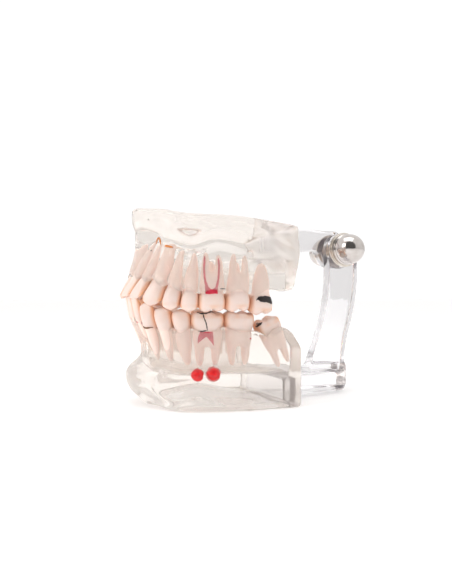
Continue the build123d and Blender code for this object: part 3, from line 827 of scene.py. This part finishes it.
def upper_casting(x, y, z):
    ring, gap, reach, from_neck, crest = UPPER_WALL(x, y, z)
    ridges = 0.35 * np.sin(1.25 * y + 0.35 * np.abs(x)) * easing(34, 20, y)
    roof = PALATE_TOP - 3.2 * easing(26, 14, y) - 0.022 * x * x + ridges
    block = both(gap + 6.5, roof - z, 3.0)
    body = either(ring, block, 5.0)
    fall = UPPER_FALL * np.clip((y - TOP_FRONT) / (JAW_BACK - TOP_FRONT), -0.1, 1.2)
    top = UPPER_TOP - fall - 0.0042 * x * x * easing(46, 12, y) + 0.1 * np.sin(0.3 * x + 0.2 * y)
    body = both(body, z - top, 1.3)
    pad = UPPER_PAD + 2.2 * easing(60.5, 64.0, y) - 0.6 * bump(y, 57.0, 3.0)
    low = -from_neck - crest
    behind = easing(61.5, 64.5, reach)
    low = low * (1 - behind) + (pad - z) * behind
    body = both(body, low, 1.6)
    back = y - JAW_BACK + 2.6 * easing(57, 47, z) ** 1.2 + 0.35 * np.sin(0.5 * z + 0.2 * x)
    return both(body, back, BACK_ROUND)


CAST_STEP = 0.6
CASTINGS = {"lower": lower_casting, "upper": upper_casting}
for jaw, low, high in (
    ("lower", (-34.5, 1.5, -0.2), (34.5, JAW_BACK + 0.2, 36.0)),
    ("upper", (-33.0, 0.5, 41.0), (33.0, JAW_BACK + 0.5, UPPER_TOP + 0.6)),
):
    points, quads = level_surface(CASTINGS[jaw], low, high, CAST_STEP)
    make_piece(f"cast_{jaw}_jaw", points, quads, f"{jaw}_jaw", "cast_resin", CAST, [f"{jaw}_jaw_base"])


# ---------------------------------------------------------------- clear bracket and arm
def far_from_path(y, z, path):
    """Distance in side view to a run of points."""
    best = None
    for (ay, az), (by, bz) in zip(path, path[1:]):
        dy, dz = by - ay, bz - az
        t = np.clip(((y - ay) * dy + (z - az) * dz) / (dy * dy + dz * dz), 0, 1)
        far = np.hypot(y - ay - t * dy, z - az - t * dz)
        best = far if best is None else np.minimum(best, far)
    return best


def spread(low, high):
    """Middle and half size of a span."""
    return (low + high) / 2, (high - low) / 2


def box_mm(node):
    """Corners of a CAD node's box in millimetres."""
    return [np.array(corner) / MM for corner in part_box(node)]


BRACKET_BOX, ARM_BOX = box_mm("lower_hinge_bracket"), box_mm("upper_hinge_arm")
RISER_IN, RISER_OUT = 0.05, box_mm("left_hinge_washer")[0][0]
SLAB_THICKNESS, SLAB_SHORT, SLAB_CORNER = 8.8, 0.3, 5.5
SLAB_NARROWS = 7.0  # on each side, from the casting to the slab's end
SLAB_LOW, SLAB_HIGH = BRACKET_BOX[0][2], BRACKET_BOX[0][2] + SLAB_THICKNESS
SLAB_END = HINGE_BACK - SLAB_SHORT
SLAB_HALF = BRACKET_BOX[1][0]
RISER_EYE = BRACKET_BOX[1][2] - HINGE.z
ARM_EYE = ARM_BOX[1][1] - HINGE.y
BOLT_RADIUS = 2.5
EYE_EDGE = 0.9  # roundness of the acrylic's edges
RISER_DEPTH, RISER_FOOT = 7.35, 1.6  # half depth of the riser, and how much its foot adds
# Centre line of the riser as (share of the hinge's height, offset from the hinge axis).
RISER_LINE = [(0.14, -8.9), (0.30, -6.8), (0.46, -3.7), (0.64, -0.9), (0.82, 0.3), (1.0, 0.0)]
RISER_MIDDLE = curve_through(
    [share * HINGE.z for share, _ in RISER_LINE], [HINGE_BACK + offset for _, offset in RISER_LINE]
)
# Edges of the arm as (back, top, underside).
ARM_EDGES = [
    (JAW_BACK - 7, 67.6, 60.4),
    (JAW_BACK, 68.4, 60.4),
    (JAW_BACK + 8, 70.6, 61.0),
    (HINGE_BACK - 19, 72.6, 62.2),
    (HINGE_BACK - 8, 72.4, 63.0),
    (HINGE_BACK, HINGE.z + ARM_EYE, HINGE.z),
]


def hinge_bore(y, z):
    return BOLT_RADIUS - np.hypot(y - HINGE_BACK, z - HINGE.z)


def bracket_field(x, y, z):
    middle, half = spread(RISER_IN, RISER_OUT)
    depth = RISER_DEPTH + RISER_FOOT * easing(0.42, 0.12, z / HINGE.z)
    stem = both(np.abs(y - RISER_MIDDLE(z)) - depth, z - HINGE.z, 1.0)
    stem = both(stem, SLAB_LOW + 3 - z, 1.0)
    eye = np.hypot(y - HINGE_BACK, z - HINGE.z) - RISER_EYE
    plate = both(either(stem, eye, 1.2), np.abs(x - middle) - half, EYE_EDGE)
    t = np.clip((y - JAW_BACK) / (SLAB_END - JAW_BACK), -0.2, 1)
    width = SLAB_HALF - SLAB_NARROWS * t
    mid_z, half_z = spread(SLAB_LOW, SLAB_HIGH)
    past_side = np.maximum(np.abs(x) - width + SLAB_CORNER, 0)
    past_end = np.maximum(y - SLAB_END + SLAB_CORNER, 0)
    corner = np.hypot(past_side, past_end) - SLAB_CORNER
    slab = both(both(corner, np.abs(z - mid_z) - half_z, 1.4), JAW_BACK - 3.0 - y, 1.0)
    return both(either(slab, plate, 5.0), hinge_bore(y, z), 0.5)


def arm_field(x, y, z):
    middle, half = spread(ARM_BOX[0][0], ARM_BOX[1][0])
    run, tops, lows = zip(*ARM_EDGES)
    top, low = curve_through(run, tops)(y), curve_through(run, lows)(y)
    bar = both(both(z - top, low - z, 1.0), np.maximum(JAW_BACK - 5 - y, y - HINGE_BACK), 0.6)
    eye = np.hypot(y - HINGE_BACK, z - HINGE.z) - ARM_EYE
    plate = both(either(bar, eye, 2.6), np.abs(x - middle) - half, EYE_EDGE)
    return both(plate, hinge_bore(y, z) + 0.05, 0.4)


low, high = (-SLAB_HALF, JAW_BACK - 4, SLAB_LOW), (SLAB_HALF, HINGE_BACK + 9, HINGE.z + 9)
points, quads = level_surface(bracket_field, low, high, CAST_STEP * 0.85)
node = "lower_hinge_bracket"
make_piece("acrylic_bracket", points, quads, "lower_jaw", "clear_bracket", ACRYLIC, [node])
low, high = (ARM_BOX[0][0], JAW_BACK - 6, 54), (ARM_BOX[1][0], HINGE_BACK + 9, 74)
points, quads = level_surface(arm_field, low, high, CAST_STEP * 0.7)
node = "upper_hinge_arm"
make_piece("acrylic_arm", points, quads, "upper_jaw", "clear_bracket", ACRYLIC, [node])


# ---------------------------------------------------------------- turned hinge metalwork
SHARP_ANGLE = math.radians(28)


def turned(name, profile, seat, outward, material, slot, stands_for, segments=96):
    """Closed solid of revolution about the hinge axis, from (distance outward from its seat,
    radius) points."""
    points, faces, n = [], [], len(profile)
    for k in range(segments):
        angle = 2 * math.pi * k / segments
        for across, radius in profile:
            back, up = HINGE_BACK + radius * math.cos(angle), HINGE.z + radius * math.sin(angle)
            points.append((seat + outward * across, back, up))
    for k in range(segments):
        here, there = k * n, (k + 1) % segments * n
        faces += [(here + i, here + (i + 1) % n, there + (i + 1) % n, there + i) for i in range(n)]
    piece = make_piece(name, points, faces, "lower_jaw", slot, material, stands_for)
    merge = 1e-7
    mesh = bmesh.new()
    mesh.from_mesh(piece.data)
    bmesh.ops.remove_doubles(mesh, verts=mesh.verts, dist=merge)
    bmesh.ops.dissolve_degenerate(mesh, edges=mesh.edges, dist=merge)
    bmesh.ops.recalc_face_normals(mesh, faces=mesh.faces)
    for edge in mesh.edges:
        edge.smooth = edge.calc_face_angle(0) < SHARP_ANGLE
    mesh.to_mesh(piece.data)
    mesh.free()


def rounded(corners, radius=0.25, steps=4):
    """Profile with each corner (across, radius) rounded by a short curve."""
    path = []
    for i, corner in enumerate(corners):
        before, after = (np.array(corners[(i + s) % len(corners)], float) for s in (-1, 1))
        here = np.array(corner, float)
        cut = [min(radius, 0.45 * np.linalg.norm(end - here)) for end in (before, after)]
        a = here + (before - here) / np.linalg.norm(before - here) * cut[0]
        b = here + (after - here) / np.linalg.norm(after - here) * cut[1]
        for k in range(steps + 1):
            t = k / steps
            path.append(tuple((1 - t) ** 2 * a + 2 * t * (1 - t) * here + t * t * b))
    return path


# Stepped washer: a wide flange with a turned groove, then a smaller land.
FLANGE = [(0, BOLT_RADIUS), (0, 7.6), (0.75, 7.7), (0.85, 7.15)]
LAND = [(1.05, 7.15), (1.15, 7.4), (1.6, 7.3), (1.6, BOLT_RADIUS)]
WASHER = rounded(FLANGE + LAND, 0.16)

# Domed nut: collar, groove, then a round end a little fuller than a half ball.
ROUNDING = 4
BORE_DEPTH = 6.0
COLLAR = [(0, BOLT_RADIUS), (0, 6.75), (1.1, 6.9), (1.4, 6.5), (1.62, 6.2)]
BALL_CENTRE, BALL_RADIUS, BALL_STEPS = 3.0, 6.6, 32


def dome_profile():
    # The first corner only steers the rounding of the next, so its points are left out.
    skirt = rounded([(BORE_DEPTH, BOLT_RADIUS)] + COLLAR, 0.14, ROUNDING)[ROUNDING + 1 :]
    for k in range(BALL_STEPS):
        angle = math.radians(102) * (1 - k / BALL_STEPS)
        skirt.append((BALL_CENTRE + BALL_RADIUS * math.cos(angle), BALL_RADIUS * math.sin(angle)))
    return skirt + [(BALL_CENTRE + BALL_RADIUS, 0.0), (BORE_DEPTH, 0.0)]


for side, outward in (("left", 1), ("right", -1)):
    for piece, node, profile, material, slot in (
        ("turned_washer", "hinge_washer", WASHER, PLATED, "washer_steel"),
        ("polished_dome", "domed_nut", dome_profile(), CHROME, "dome_chrome"),
    ):
        seat = box_mm(f"{side}_{node}")[0 if outward > 0 else 1][0]
        turned(f"{piece}_{side}", profile, seat, outward, material, slot, [f"{side}_{node}"])


THREAD_DEPTH, THREAD_RIDGE, THREAD_PITCH = 0.28, 0.26, 0.8
CORE_SIDES, SPIRAL_STEPS, RIDGE_SIDES = 48, 28, 4


def threaded_bolt():
    """Bolt with a rolled thread: a small diamond section swept along a spiral, half sunk in a
    turned core."""
    low, high = box_mm("hinge_bolt")
    sizes = {
        "Core radius": (BOLT_RADIUS - THREAD_DEPTH) * MM,
        "Pitch": THREAD_PITCH * MM,
        "Length": float(high[0] - low[0]) * MM,
        "Ridge": THREAD_RIDGE * MM,
    }
    tree = bpy.data.node_groups.new("rolled_thread", "GeometryNodeTree")
    face = tree.interface
    for label, value in sizes.items():
        face.new_socket(label, in_out="INPUT", socket_type="NodeSocketFloat").default_value = value
    face.new_socket("Thread", in_out="OUTPUT", socket_type="NodeSocketGeometry")
    face.new_socket("Steel", in_out="INPUT", socket_type="NodeSocketMaterial")
    made, join = tree.nodes.new, tree.links.new
    given, out = made("NodeGroupInput").outputs, made("NodeGroupOutput")

    def divided(socket, by):
        node = made("ShaderNodeMath")
        node.operation = "DIVIDE"
        join(socket, node.inputs[0])
        if isinstance(by, float):
            node.inputs[1].default_value = by
        else:
            join(by, node.inputs[1])
        return node.outputs[0]

    spiral = made("GeometryNodeCurveSpiral")
    spiral.inputs["Resolution"].default_value = SPIRAL_STEPS
    join(divided(given["Length"], given["Pitch"]), spiral.inputs["Rotations"])
    join(given["Core radius"], spiral.inputs["Start Radius"])
    join(given["Core radius"], spiral.inputs["End Radius"])
    join(given["Length"], spiral.inputs["Height"])
    ridge = made("GeometryNodeCurvePrimitiveCircle")
    ridge.inputs["Resolution"].default_value = RIDGE_SIDES
    join(given["Ridge"], ridge.inputs["Radius"])
    sweep = made("GeometryNodeCurveToMesh")
    sweep.inputs["Fill Caps"].default_value = True
    join(spiral.outputs[0], sweep.inputs["Curve"])
    join(ridge.outputs[0], sweep.inputs["Profile Curve"])
    core = made("GeometryNodeMeshCylinder")
    core.inputs["Vertices"].default_value = CORE_SIDES
    join(given["Core radius"], core.inputs["Radius"])
    join(given["Length"], core.inputs["Depth"])
    raised, lift = made("ShaderNodeCombineXYZ"), made("GeometryNodeTransform")
    join(divided(given["Length"], 2.0), raised.inputs["Z"])
    join(core.outputs[0], lift.inputs[0])
    join(raised.outputs[0], lift.inputs["Translation"])
    joined, real = made("GeometryNodeJoinGeometry"), made("GeometryNodeRealizeInstances")
    dress = made("GeometryNodeSetMaterial")
    join(sweep.outputs[0], joined.inputs[0])
    join(lift.outputs[0], joined.inputs[0])
    join(joined.outputs[0], real.inputs[0])
    join(real.outputs[0], dress.inputs[0])
    join(given["Steel"], dress.inputs["Material"])
    join(dress.outputs[0], out.inputs[0])

    carrier = bpy.data.objects.new("thread_carrier", bpy.data.meshes.new("thread_carrier"))
    bpy.context.collection.objects.link(carrier)
    modifier = carrier.modifiers.new("thread", "NODES")
    modifier.node_group = tree
    for item in tree.interface.items_tree:
        if item.in_out == "INPUT":
            modifier[item.identifier] = sizes.get(item.name, BRASSY)
    ready = carrier.evaluated_get(bpy.context.evaluated_depsgraph_get())
    mesh = bpy.data.meshes.new_from_object(ready)
    bpy.data.objects.remove(carrier)
    mesh.materials.clear()
    mesh.materials.append(BRASSY)
    across = Matrix.Rotation(math.pi / 2, 4, "Y")
    mesh.transform(Matrix.Translation(Vector((low[0], HINGE.y, HINGE.z)) * MM) @ across)
    bolt = bpy.data.objects.new("threaded_bolt", mesh)
    bpy.context.collection.objects.link(bolt)
    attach(bolt, "lower_jaw")
    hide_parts("hinge_bolt")


threaded_bolt()


# ---------------------------------------------------------------- inlays, decay and other marks
def inside(corners):
    """Signed distance to a flat outline, negative inside."""
    corners = np.array(corners, float)

    def at(x, h):
        best, odd = np.full(x.shape, 1e9), np.zeros(x.shape, bool)
        for (ax, ah), (bx, bh) in zip(corners, np.roll(corners, -1, 0)):
            dx, dh = bx - ax, bh - ah
            t = np.clip(((x - ax) * dx + (h - ah) * dh) / (dx * dx + dh * dh), 0, 1)
            best = np.minimum(best, np.hypot(x - ax - t * dx, h - ah - t * dh))
            crosses = (ah > h) != (bh > h)
            where = ax + (h - ah) * dx / (dh if dh else 1e-9)
            odd ^= crosses & (x < where)
        return np.where(odd, -best, best)

    return at


def stroke(path, half_width):
    """Signed distance to a painted line that thins towards both ends."""
    ends = np.array([path[0], path[-1]], float)

    def at(x, h):
        far = far_from_path(x, h, path)
        near_end = np.minimum(*(np.hypot(x - ex, h - eh) for ex, eh in ends))
        return far - half_width * (0.45 + 0.55 * easing(0, 1.2, near_end))

    return at


def merged(*shapes):
    """Flat shapes as one, with the corners between them filled a little."""

    def at(x, h):
        whole = shapes[-1](x, h)
        for shape in reversed(shapes[:-1]):
            whole = either(shape(x, h), whole, 0.3)
        return whole

    return at


def on_tooth(name, seat, shape, low, high, thick, material, slot, stands_for=(), step=0.14):
    """Thin layer of colour that follows the cheek side of a tooth inside a flat outline."""
    tooth = seat.tooth
    field = tooth_field(tooth)[0]

    def layer(x, y, h):
        wobble = 0.07 * np.sin(3.1 * x + 1.7 * h) * np.sin(2.3 * h - x)
        skin = np.abs(field(x, y, h) - 0.3 * thick) - thick
        return both(both(shape(x, h) + wobble, skin, 0.08), y - 0.4 * tooth.depth, 0.1)

    low, high = (low[0], -0.8, low[1]), (high[0], 0.45 * tooth.depth, high[1])
    points, quads = level_surface(layer, low, high, step)
    faces = quads[:, ::-1] if seat.mirrored() else quads
    body = "upper_jaw" if seat.rise[2] > 0 else "lower_jaw"
    make_piece(name, seat.out(points), faces, body, slot, material, stands_for)


# Outlines and lines below are (sideways, height from the biting edge) on the tooth that they mark.
first_lower, first_upper = SEATS["lower", "first_molar"], SEATS["upper", "first_molar"]
PULP_FRONT = [(-2.9, 8.1), (1.9, 7.9), (2.1, 10.4), (2.3, 13.2), (0.9, 11.2)]
PULP_REAR = [(-0.5, 9.8), (-1.9, 10.9), (-3.6, 12.4), (-3.5, 10.0)]
pulp, node = inside(PULP_FRONT + PULP_REAR), "lower_molar_pulp"
low, high = (-4.2, 7.4), (3.0, 13.8)
on_tooth("painted_pulp", first_lower, pulp, low, high, 0.22, RED_INLAY, "red_inlay", [node])

CHAMBER_FRONT = [(-2.6, 6.7), (1.8, 6.9), (1.9, 9.0), (1.5, 11.4), (0.9, 9.4)]
CHAMBER_REAR = [(-0.3, 8.5), (-1.4, 9.4), (-2.2, 11.2), (-2.9, 9.0)]
canals = merged(
    inside(CHAMBER_FRONT + CHAMBER_REAR),
    stroke([(-2.5, 9.6), (-2.8, 12.5), (-3.0, 16.0), (-2.8, 20.6)], 0.36),
    stroke([(1.7, 9.6), (2.1, 13.0), (2.4, 17.0), (2.2, 19.9)], 0.36),
)
low, high, node = (-3.8, 6.2), (3.4, 21.2), "upper_molar_canals"
on_tooth("painted_canals", first_upper, canals, low, high, 0.2, RED_INLAY, "red_inlay", [node])

crack = merged(
    stroke([(-3.9, 0.7), (-2.2, 1.2), (-0.4, 1.1), (1.2, 0.5), (3.6, 0.7)], 0.2),
    stroke([(-1.7, 1.0), (-1.3, 2.8), (-0.6, 4.6), (-0.1, 7.2)], 0.2),
    stroke([(-3.6, 7.9), (-1.8, 7.8), (0.0, 7.3)], 0.22),
)
on_tooth("painted_crack", first_lower, crack, (-4.6, -0.2), (4.4, 8.6), 0.13, CARIES, "tooth")

DECAY_NECK = [(-3.3, 5.2), (-2.3, 7.1), (0.3, 7.4), (3.0, 7.0), (3.9, 4.5)]
DECAY_EDGE = [(2.9, 4.3), (1.0, 4.9), (-1.6, 5.2), (-2.6, 6.1)]
decay, last_upper = inside(DECAY_NECK + DECAY_EDGE), SEATS["upper", "third_molar"]
on_tooth("painted_decay", last_upper, decay, (-4.4, 3.6), (4.6, 8.0), 0.16, CARIES, "tooth")
pit = stroke([(-4.8, 1.7), (-4.0, 1.0), (-2.8, 0.6)], 0.36)
on_tooth("painted_pit", tilted_seat, pit, (-5.6, -0.2), (-1.8, 3.0), 0.16, CARIES, "tooth")
tartar = stroke([(-1.9, 9.1), (0.0, 9.7), (2.0, 9.3)], 0.3)
canine = SEATS["lower", "canine"]
on_tooth("tartar_line", canine, tartar, (-2.8, 8.4), (2.8, 10.4), 0.15, CALCULUS, "tooth")
sore_seat = SEATS["lower", "lateral_incisor"]
for k, (x, h) in enumerate(((-0.2, 9.9), (1.7, 10.3))):
    spot = stroke([(x - 0.25, h), (x + 0.25, h + 0.2)], 0.4)
    low, high = (x - 1, h - 1), (x + 1, h + 1)
    on_tooth(f"sore_spot_{k}", sore_seat, spot, low, high, 0.14, SORE, "tooth")


def under_skin(jaw, reach, z, cover):
    """Point of a casting that far under its outer skin, at that reach and height."""
    here, _, inward = arch_frame(jaw, reach)
    for travel in np.arange(-6, 14, 0.1):
        x, y = here + inward * travel
        if CASTINGS[jaw](np.array([x]), np.array([y]), np.array([z]))[0] < 0:
            x, y = here + inward * (travel + cover)
            return np.array([x, y, z])
    raise ValueError("no casting there")


LINE_RINGS, LINE_SIDES = 24, 12


def painted_line(name, path, radius, material, jaw):
    """Round line of colour through points, tapered at its ends."""
    smooth = curve_through(np.linspace(0, 1, len(path)), np.array(path))
    path = smooth(np.linspace(0, 1, LINE_RINGS + 1))
    points, faces, n = [], [], LINE_SIDES
    for i, here in enumerate(path):
        step = path[min(i + 1, LINE_RINGS)] - path[max(i - 1, 0)]
        step /= np.linalg.norm(step)
        across = np.cross(step, (0.3, 0.2, 1.0))
        across /= np.linalg.norm(across)
        upward = np.cross(across, step)
        from_middle = abs(i - LINE_RINGS / 2) / (LINE_RINGS / 2 + 0.2)
        size = radius * math.sqrt(max(1 - from_middle**4, 0.02))
        for k in range(n):
            angle = 2 * math.pi * k / n
            points.append(here + size * (math.cos(angle) * across + math.sin(angle) * upward))
    for i in range(LINE_RINGS):
        for k in range(n):
            a, b = i * n + k, i * n + (k + 1) % n
            faces.append((a, b, b + n, a + n))
    faces += [tuple(range(n))[::-1], tuple(LINE_RINGS * n + k for k in range(n))]
    make_piece(name, np.array(points), faces, f"{jaw}_jaw", "tooth", material)


# Marks cast into the resin, as (reach along the arch, height).
AMBER_ARC = [(18.6, 61.9), (19.5, 64.0), (20.9, 64.1), (22.0, 61.5)]
AMBER_DASH = [(24.4, 61.2), (26.1, 60.8), (28.2, 60.2)]
GREY_FLAW = [(45.4, 45.2), (46.4, 45.2), (47.4, 45.2)]
DOTS = [("upper", 15.5, 59.8, 0.28), ("upper", 14.5, 71.5, 0.28), ("lower", 53.2, 26.7, 0.34)]
for name, run, radius in (("amber_arc", AMBER_ARC, 0.42), ("amber_dash", AMBER_DASH, 0.5)):
    painted_line(name, [under_skin("upper", *place, 0.25) for place in run], radius, AMBER, "upper")
for k, (jaw, reach, z, radius) in enumerate(DOTS):
    dot = under_skin(jaw, reach, z, 0.2)
    run = [dot + (0, d, 0) for d in (-radius, 0, radius)]
    painted_line(f"tiny_dot_{k}", run, radius, SORE if jaw == "lower" else CARIES, jaw)
flaw = [under_skin("upper", *place, 0.2) for place in GREY_FLAW]
painted_line("grey_flaw", flaw, 0.22, CARIES, "upper")


def bead(centre, radius):
    """Cast bead, a little out of round, with a small peak at its top."""

    def field(x, y, z):
        x, y, z = x - centre[0], y - centre[1], z - centre[2]
        round_off = 0.16 * np.sin(1.4 * x + 0.6) * np.sin(1.1 * y + z * 0.9) + 0.1 * np.sin(2.2 * z + y)
        ball = np.sqrt(x * x + y * y + (z * 1.04) ** 2) - radius + round_off
        peak = np.sqrt(x * x + y * y) - 0.5 * np.clip(radius + 0.5 - z, 0, 1.0)
        return either(ball, both(both(peak, z - radius - 0.4, 0.2), -z, 0.2), 0.4)

    reach = radius + 1.2
    return level_surface(field, [c - reach for c in centre], [c + reach for c in centre], 0.22)


low, high = box_mm("root_tip_cysts")
middle = (low[0] + high[0]) / 2
front_bead = bead((middle + 1.0, low[1] - FRONT + 1.0, low[2] + 2.2), 2.45)
rear_bead = bead((middle + 2.1, high[1] - FRONT - 3.9, low[2] + 2.4), 2.85)
beads = (front_bead, rear_bead)
points = np.concatenate([b[0] for b in beads])
faces = np.concatenate([beads[0][1], beads[1][1] + len(beads[0][0])])
make_piece("red_beads", points, faces, "lower_jaw", "red_bead", RED_BEAD, ["root_tip_cysts"])


# ---------------------------------------------------------------- floor, light and camera
FLOOR_HALF = 6.0  # metres


def make_stage():
    mesh = bpy.data.meshes.new("floor")
    corners = ((-1, -1), (1, -1), (1, 1), (-1, 1))
    mesh.from_pydata([(x * FLOOR_HALF, y * FLOOR_HALF, 0) for x, y in corners], [], [(0, 1, 2, 3)])
    floor = bpy.data.objects.new("floor", mesh)
    bpy.context.collection.objects.link(floor)
    f = Finish("pale_floor", Roughness=0.7, Specular_IOR_Level=0.2, Emission_Strength=0.24)
    f.shader.inputs["Emission Color"].default_value = (1, 1, 1, 1)
    f.feed("Base Color", f.mix(f.noise(60.0), (0.96, 0.96, 0.96), (0.94, 0.94, 0.945)))
    mesh.materials.append(f.material)


CAMERA_PLACE = Vector((214.8, FRONT - 43.3, 42.5)) * MM
CAMERA_TURN = math.radians(22.5)
DOORWAY_TURN, DOORWAY_RISE = 0.2, 0.22  # direction of the dark doorway, past the camera's own
LOW_SHADE, HIGH_SHADE = 0.80, 0.95  # of the room, below and above
BACKDROP = 1.05


def make_world():
    """White room, a little brighter above, with a dark doorway behind the camera for polished and
    clear pieces to show. The camera itself sees a plain white backdrop."""
    world = bpy.data.worlds.new("studio")
    bpy.context.scene.world = world
    world.use_nodes = True
    tree = world.node_tree
    tree.nodes.clear()
    made, join = tree.nodes.new, tree.links.new

    def eased(socket, *ranges):
        """Smooth step of a socket, from (low, high) to (value at low, value at high)."""
        node = made("ShaderNodeMapRange")
        node.interpolation_type = "SMOOTHSTEP"
        for i, v in enumerate(ranges):
            node.inputs[i + 1].default_value = v
        join(socket, node.inputs[0])
        return node.outputs[0]

    place, parts = made("ShaderNodeTexCoord"), made("ShaderNodeSeparateXYZ")
    join(place.outputs["Generated"], parts.inputs[0])
    door = made("ShaderNodeVectorMath")
    door.operation = "DOT_PRODUCT"
    turn = CAMERA_TURN + DOORWAY_TURN
    door.inputs[1].default_value = Vector((math.cos(turn), -math.sin(turn), DOORWAY_RISE)).normalized()
    join(place.outputs["Generated"], door.inputs[0])
    light = made("ShaderNodeMath")
    light.operation = "MULTIPLY"
    join(eased(parts.outputs["Z"], -0.1, 0.75, LOW_SHADE, HIGH_SHADE), light.inputs[0])
    join(eased(door.outputs["Value"], 0.62, 0.76, 1.0, 0.14), light.inputs[1])
    room, plain = made("ShaderNodeBackground"), made("ShaderNodeBackground")
    sight, mixed = made("ShaderNodeLightPath"), made("ShaderNodeMixShader")
    room.inputs[0].default_value = (1.0, 0.985, 0.97, 1)
    join(light.outputs[0], room.inputs[1])
    plain.inputs[0].default_value = (1, 1, 1, 1)
    plain.inputs[1].default_value = BACKDROP
    join(sight.outputs["Is Camera Ray"], mixed.inputs[0])
    join(room.outputs[0], mixed.inputs[1])
    join(plain.outputs[0], mixed.inputs[2])
    join(mixed.outputs[0], made("ShaderNodeOutputWorld").inputs[0])
    bpy.context.scene.view_settings.view_transform = "Standard"


LIT_PLACE = Vector((0, 0, 0.04))  # metres


def make_light(name, place, size, watts, colour=(1, 1, 1)):
    data = bpy.data.lights.new(name, "AREA")
    data.shape, data.size, data.size_y = "RECTANGLE", size[0], size[1]
    data.energy, data.color = watts, colour
    lamp = bpy.data.objects.new(name, data)
    bpy.context.collection.objects.link(lamp)
    lamp.location = place
    aim = LIT_PLACE - Vector(place)
    lamp.rotation_euler = aim.to_track_quat("-Z", "Y").to_euler()


def make_camera():
    data = bpy.data.cameras.new("studio_camera")
    data.lens, data.sensor_width, data.shift_y = 33.9, 36.0, 0.007
    data.clip_start = 0.01
    camera = bpy.data.objects.new("studio_camera", data)
    bpy.context.collection.objects.link(camera)
    camera.location = CAMERA_PLACE
    camera.rotation_euler = (math.pi / 2, 0, math.pi / 2 - CAMERA_TURN)
    bpy.context.scene.camera = camera


make_stage()
make_world()
make_light("overhead_softbox", (0.05, -0.05, 0.55), (0.5, 0.35), 0.65)
make_light("front_softbox", (0.12, -0.62, 0.38), (0.3, 0.34), 1.4, (1.0, 0.98, 0.96))
make_camera()
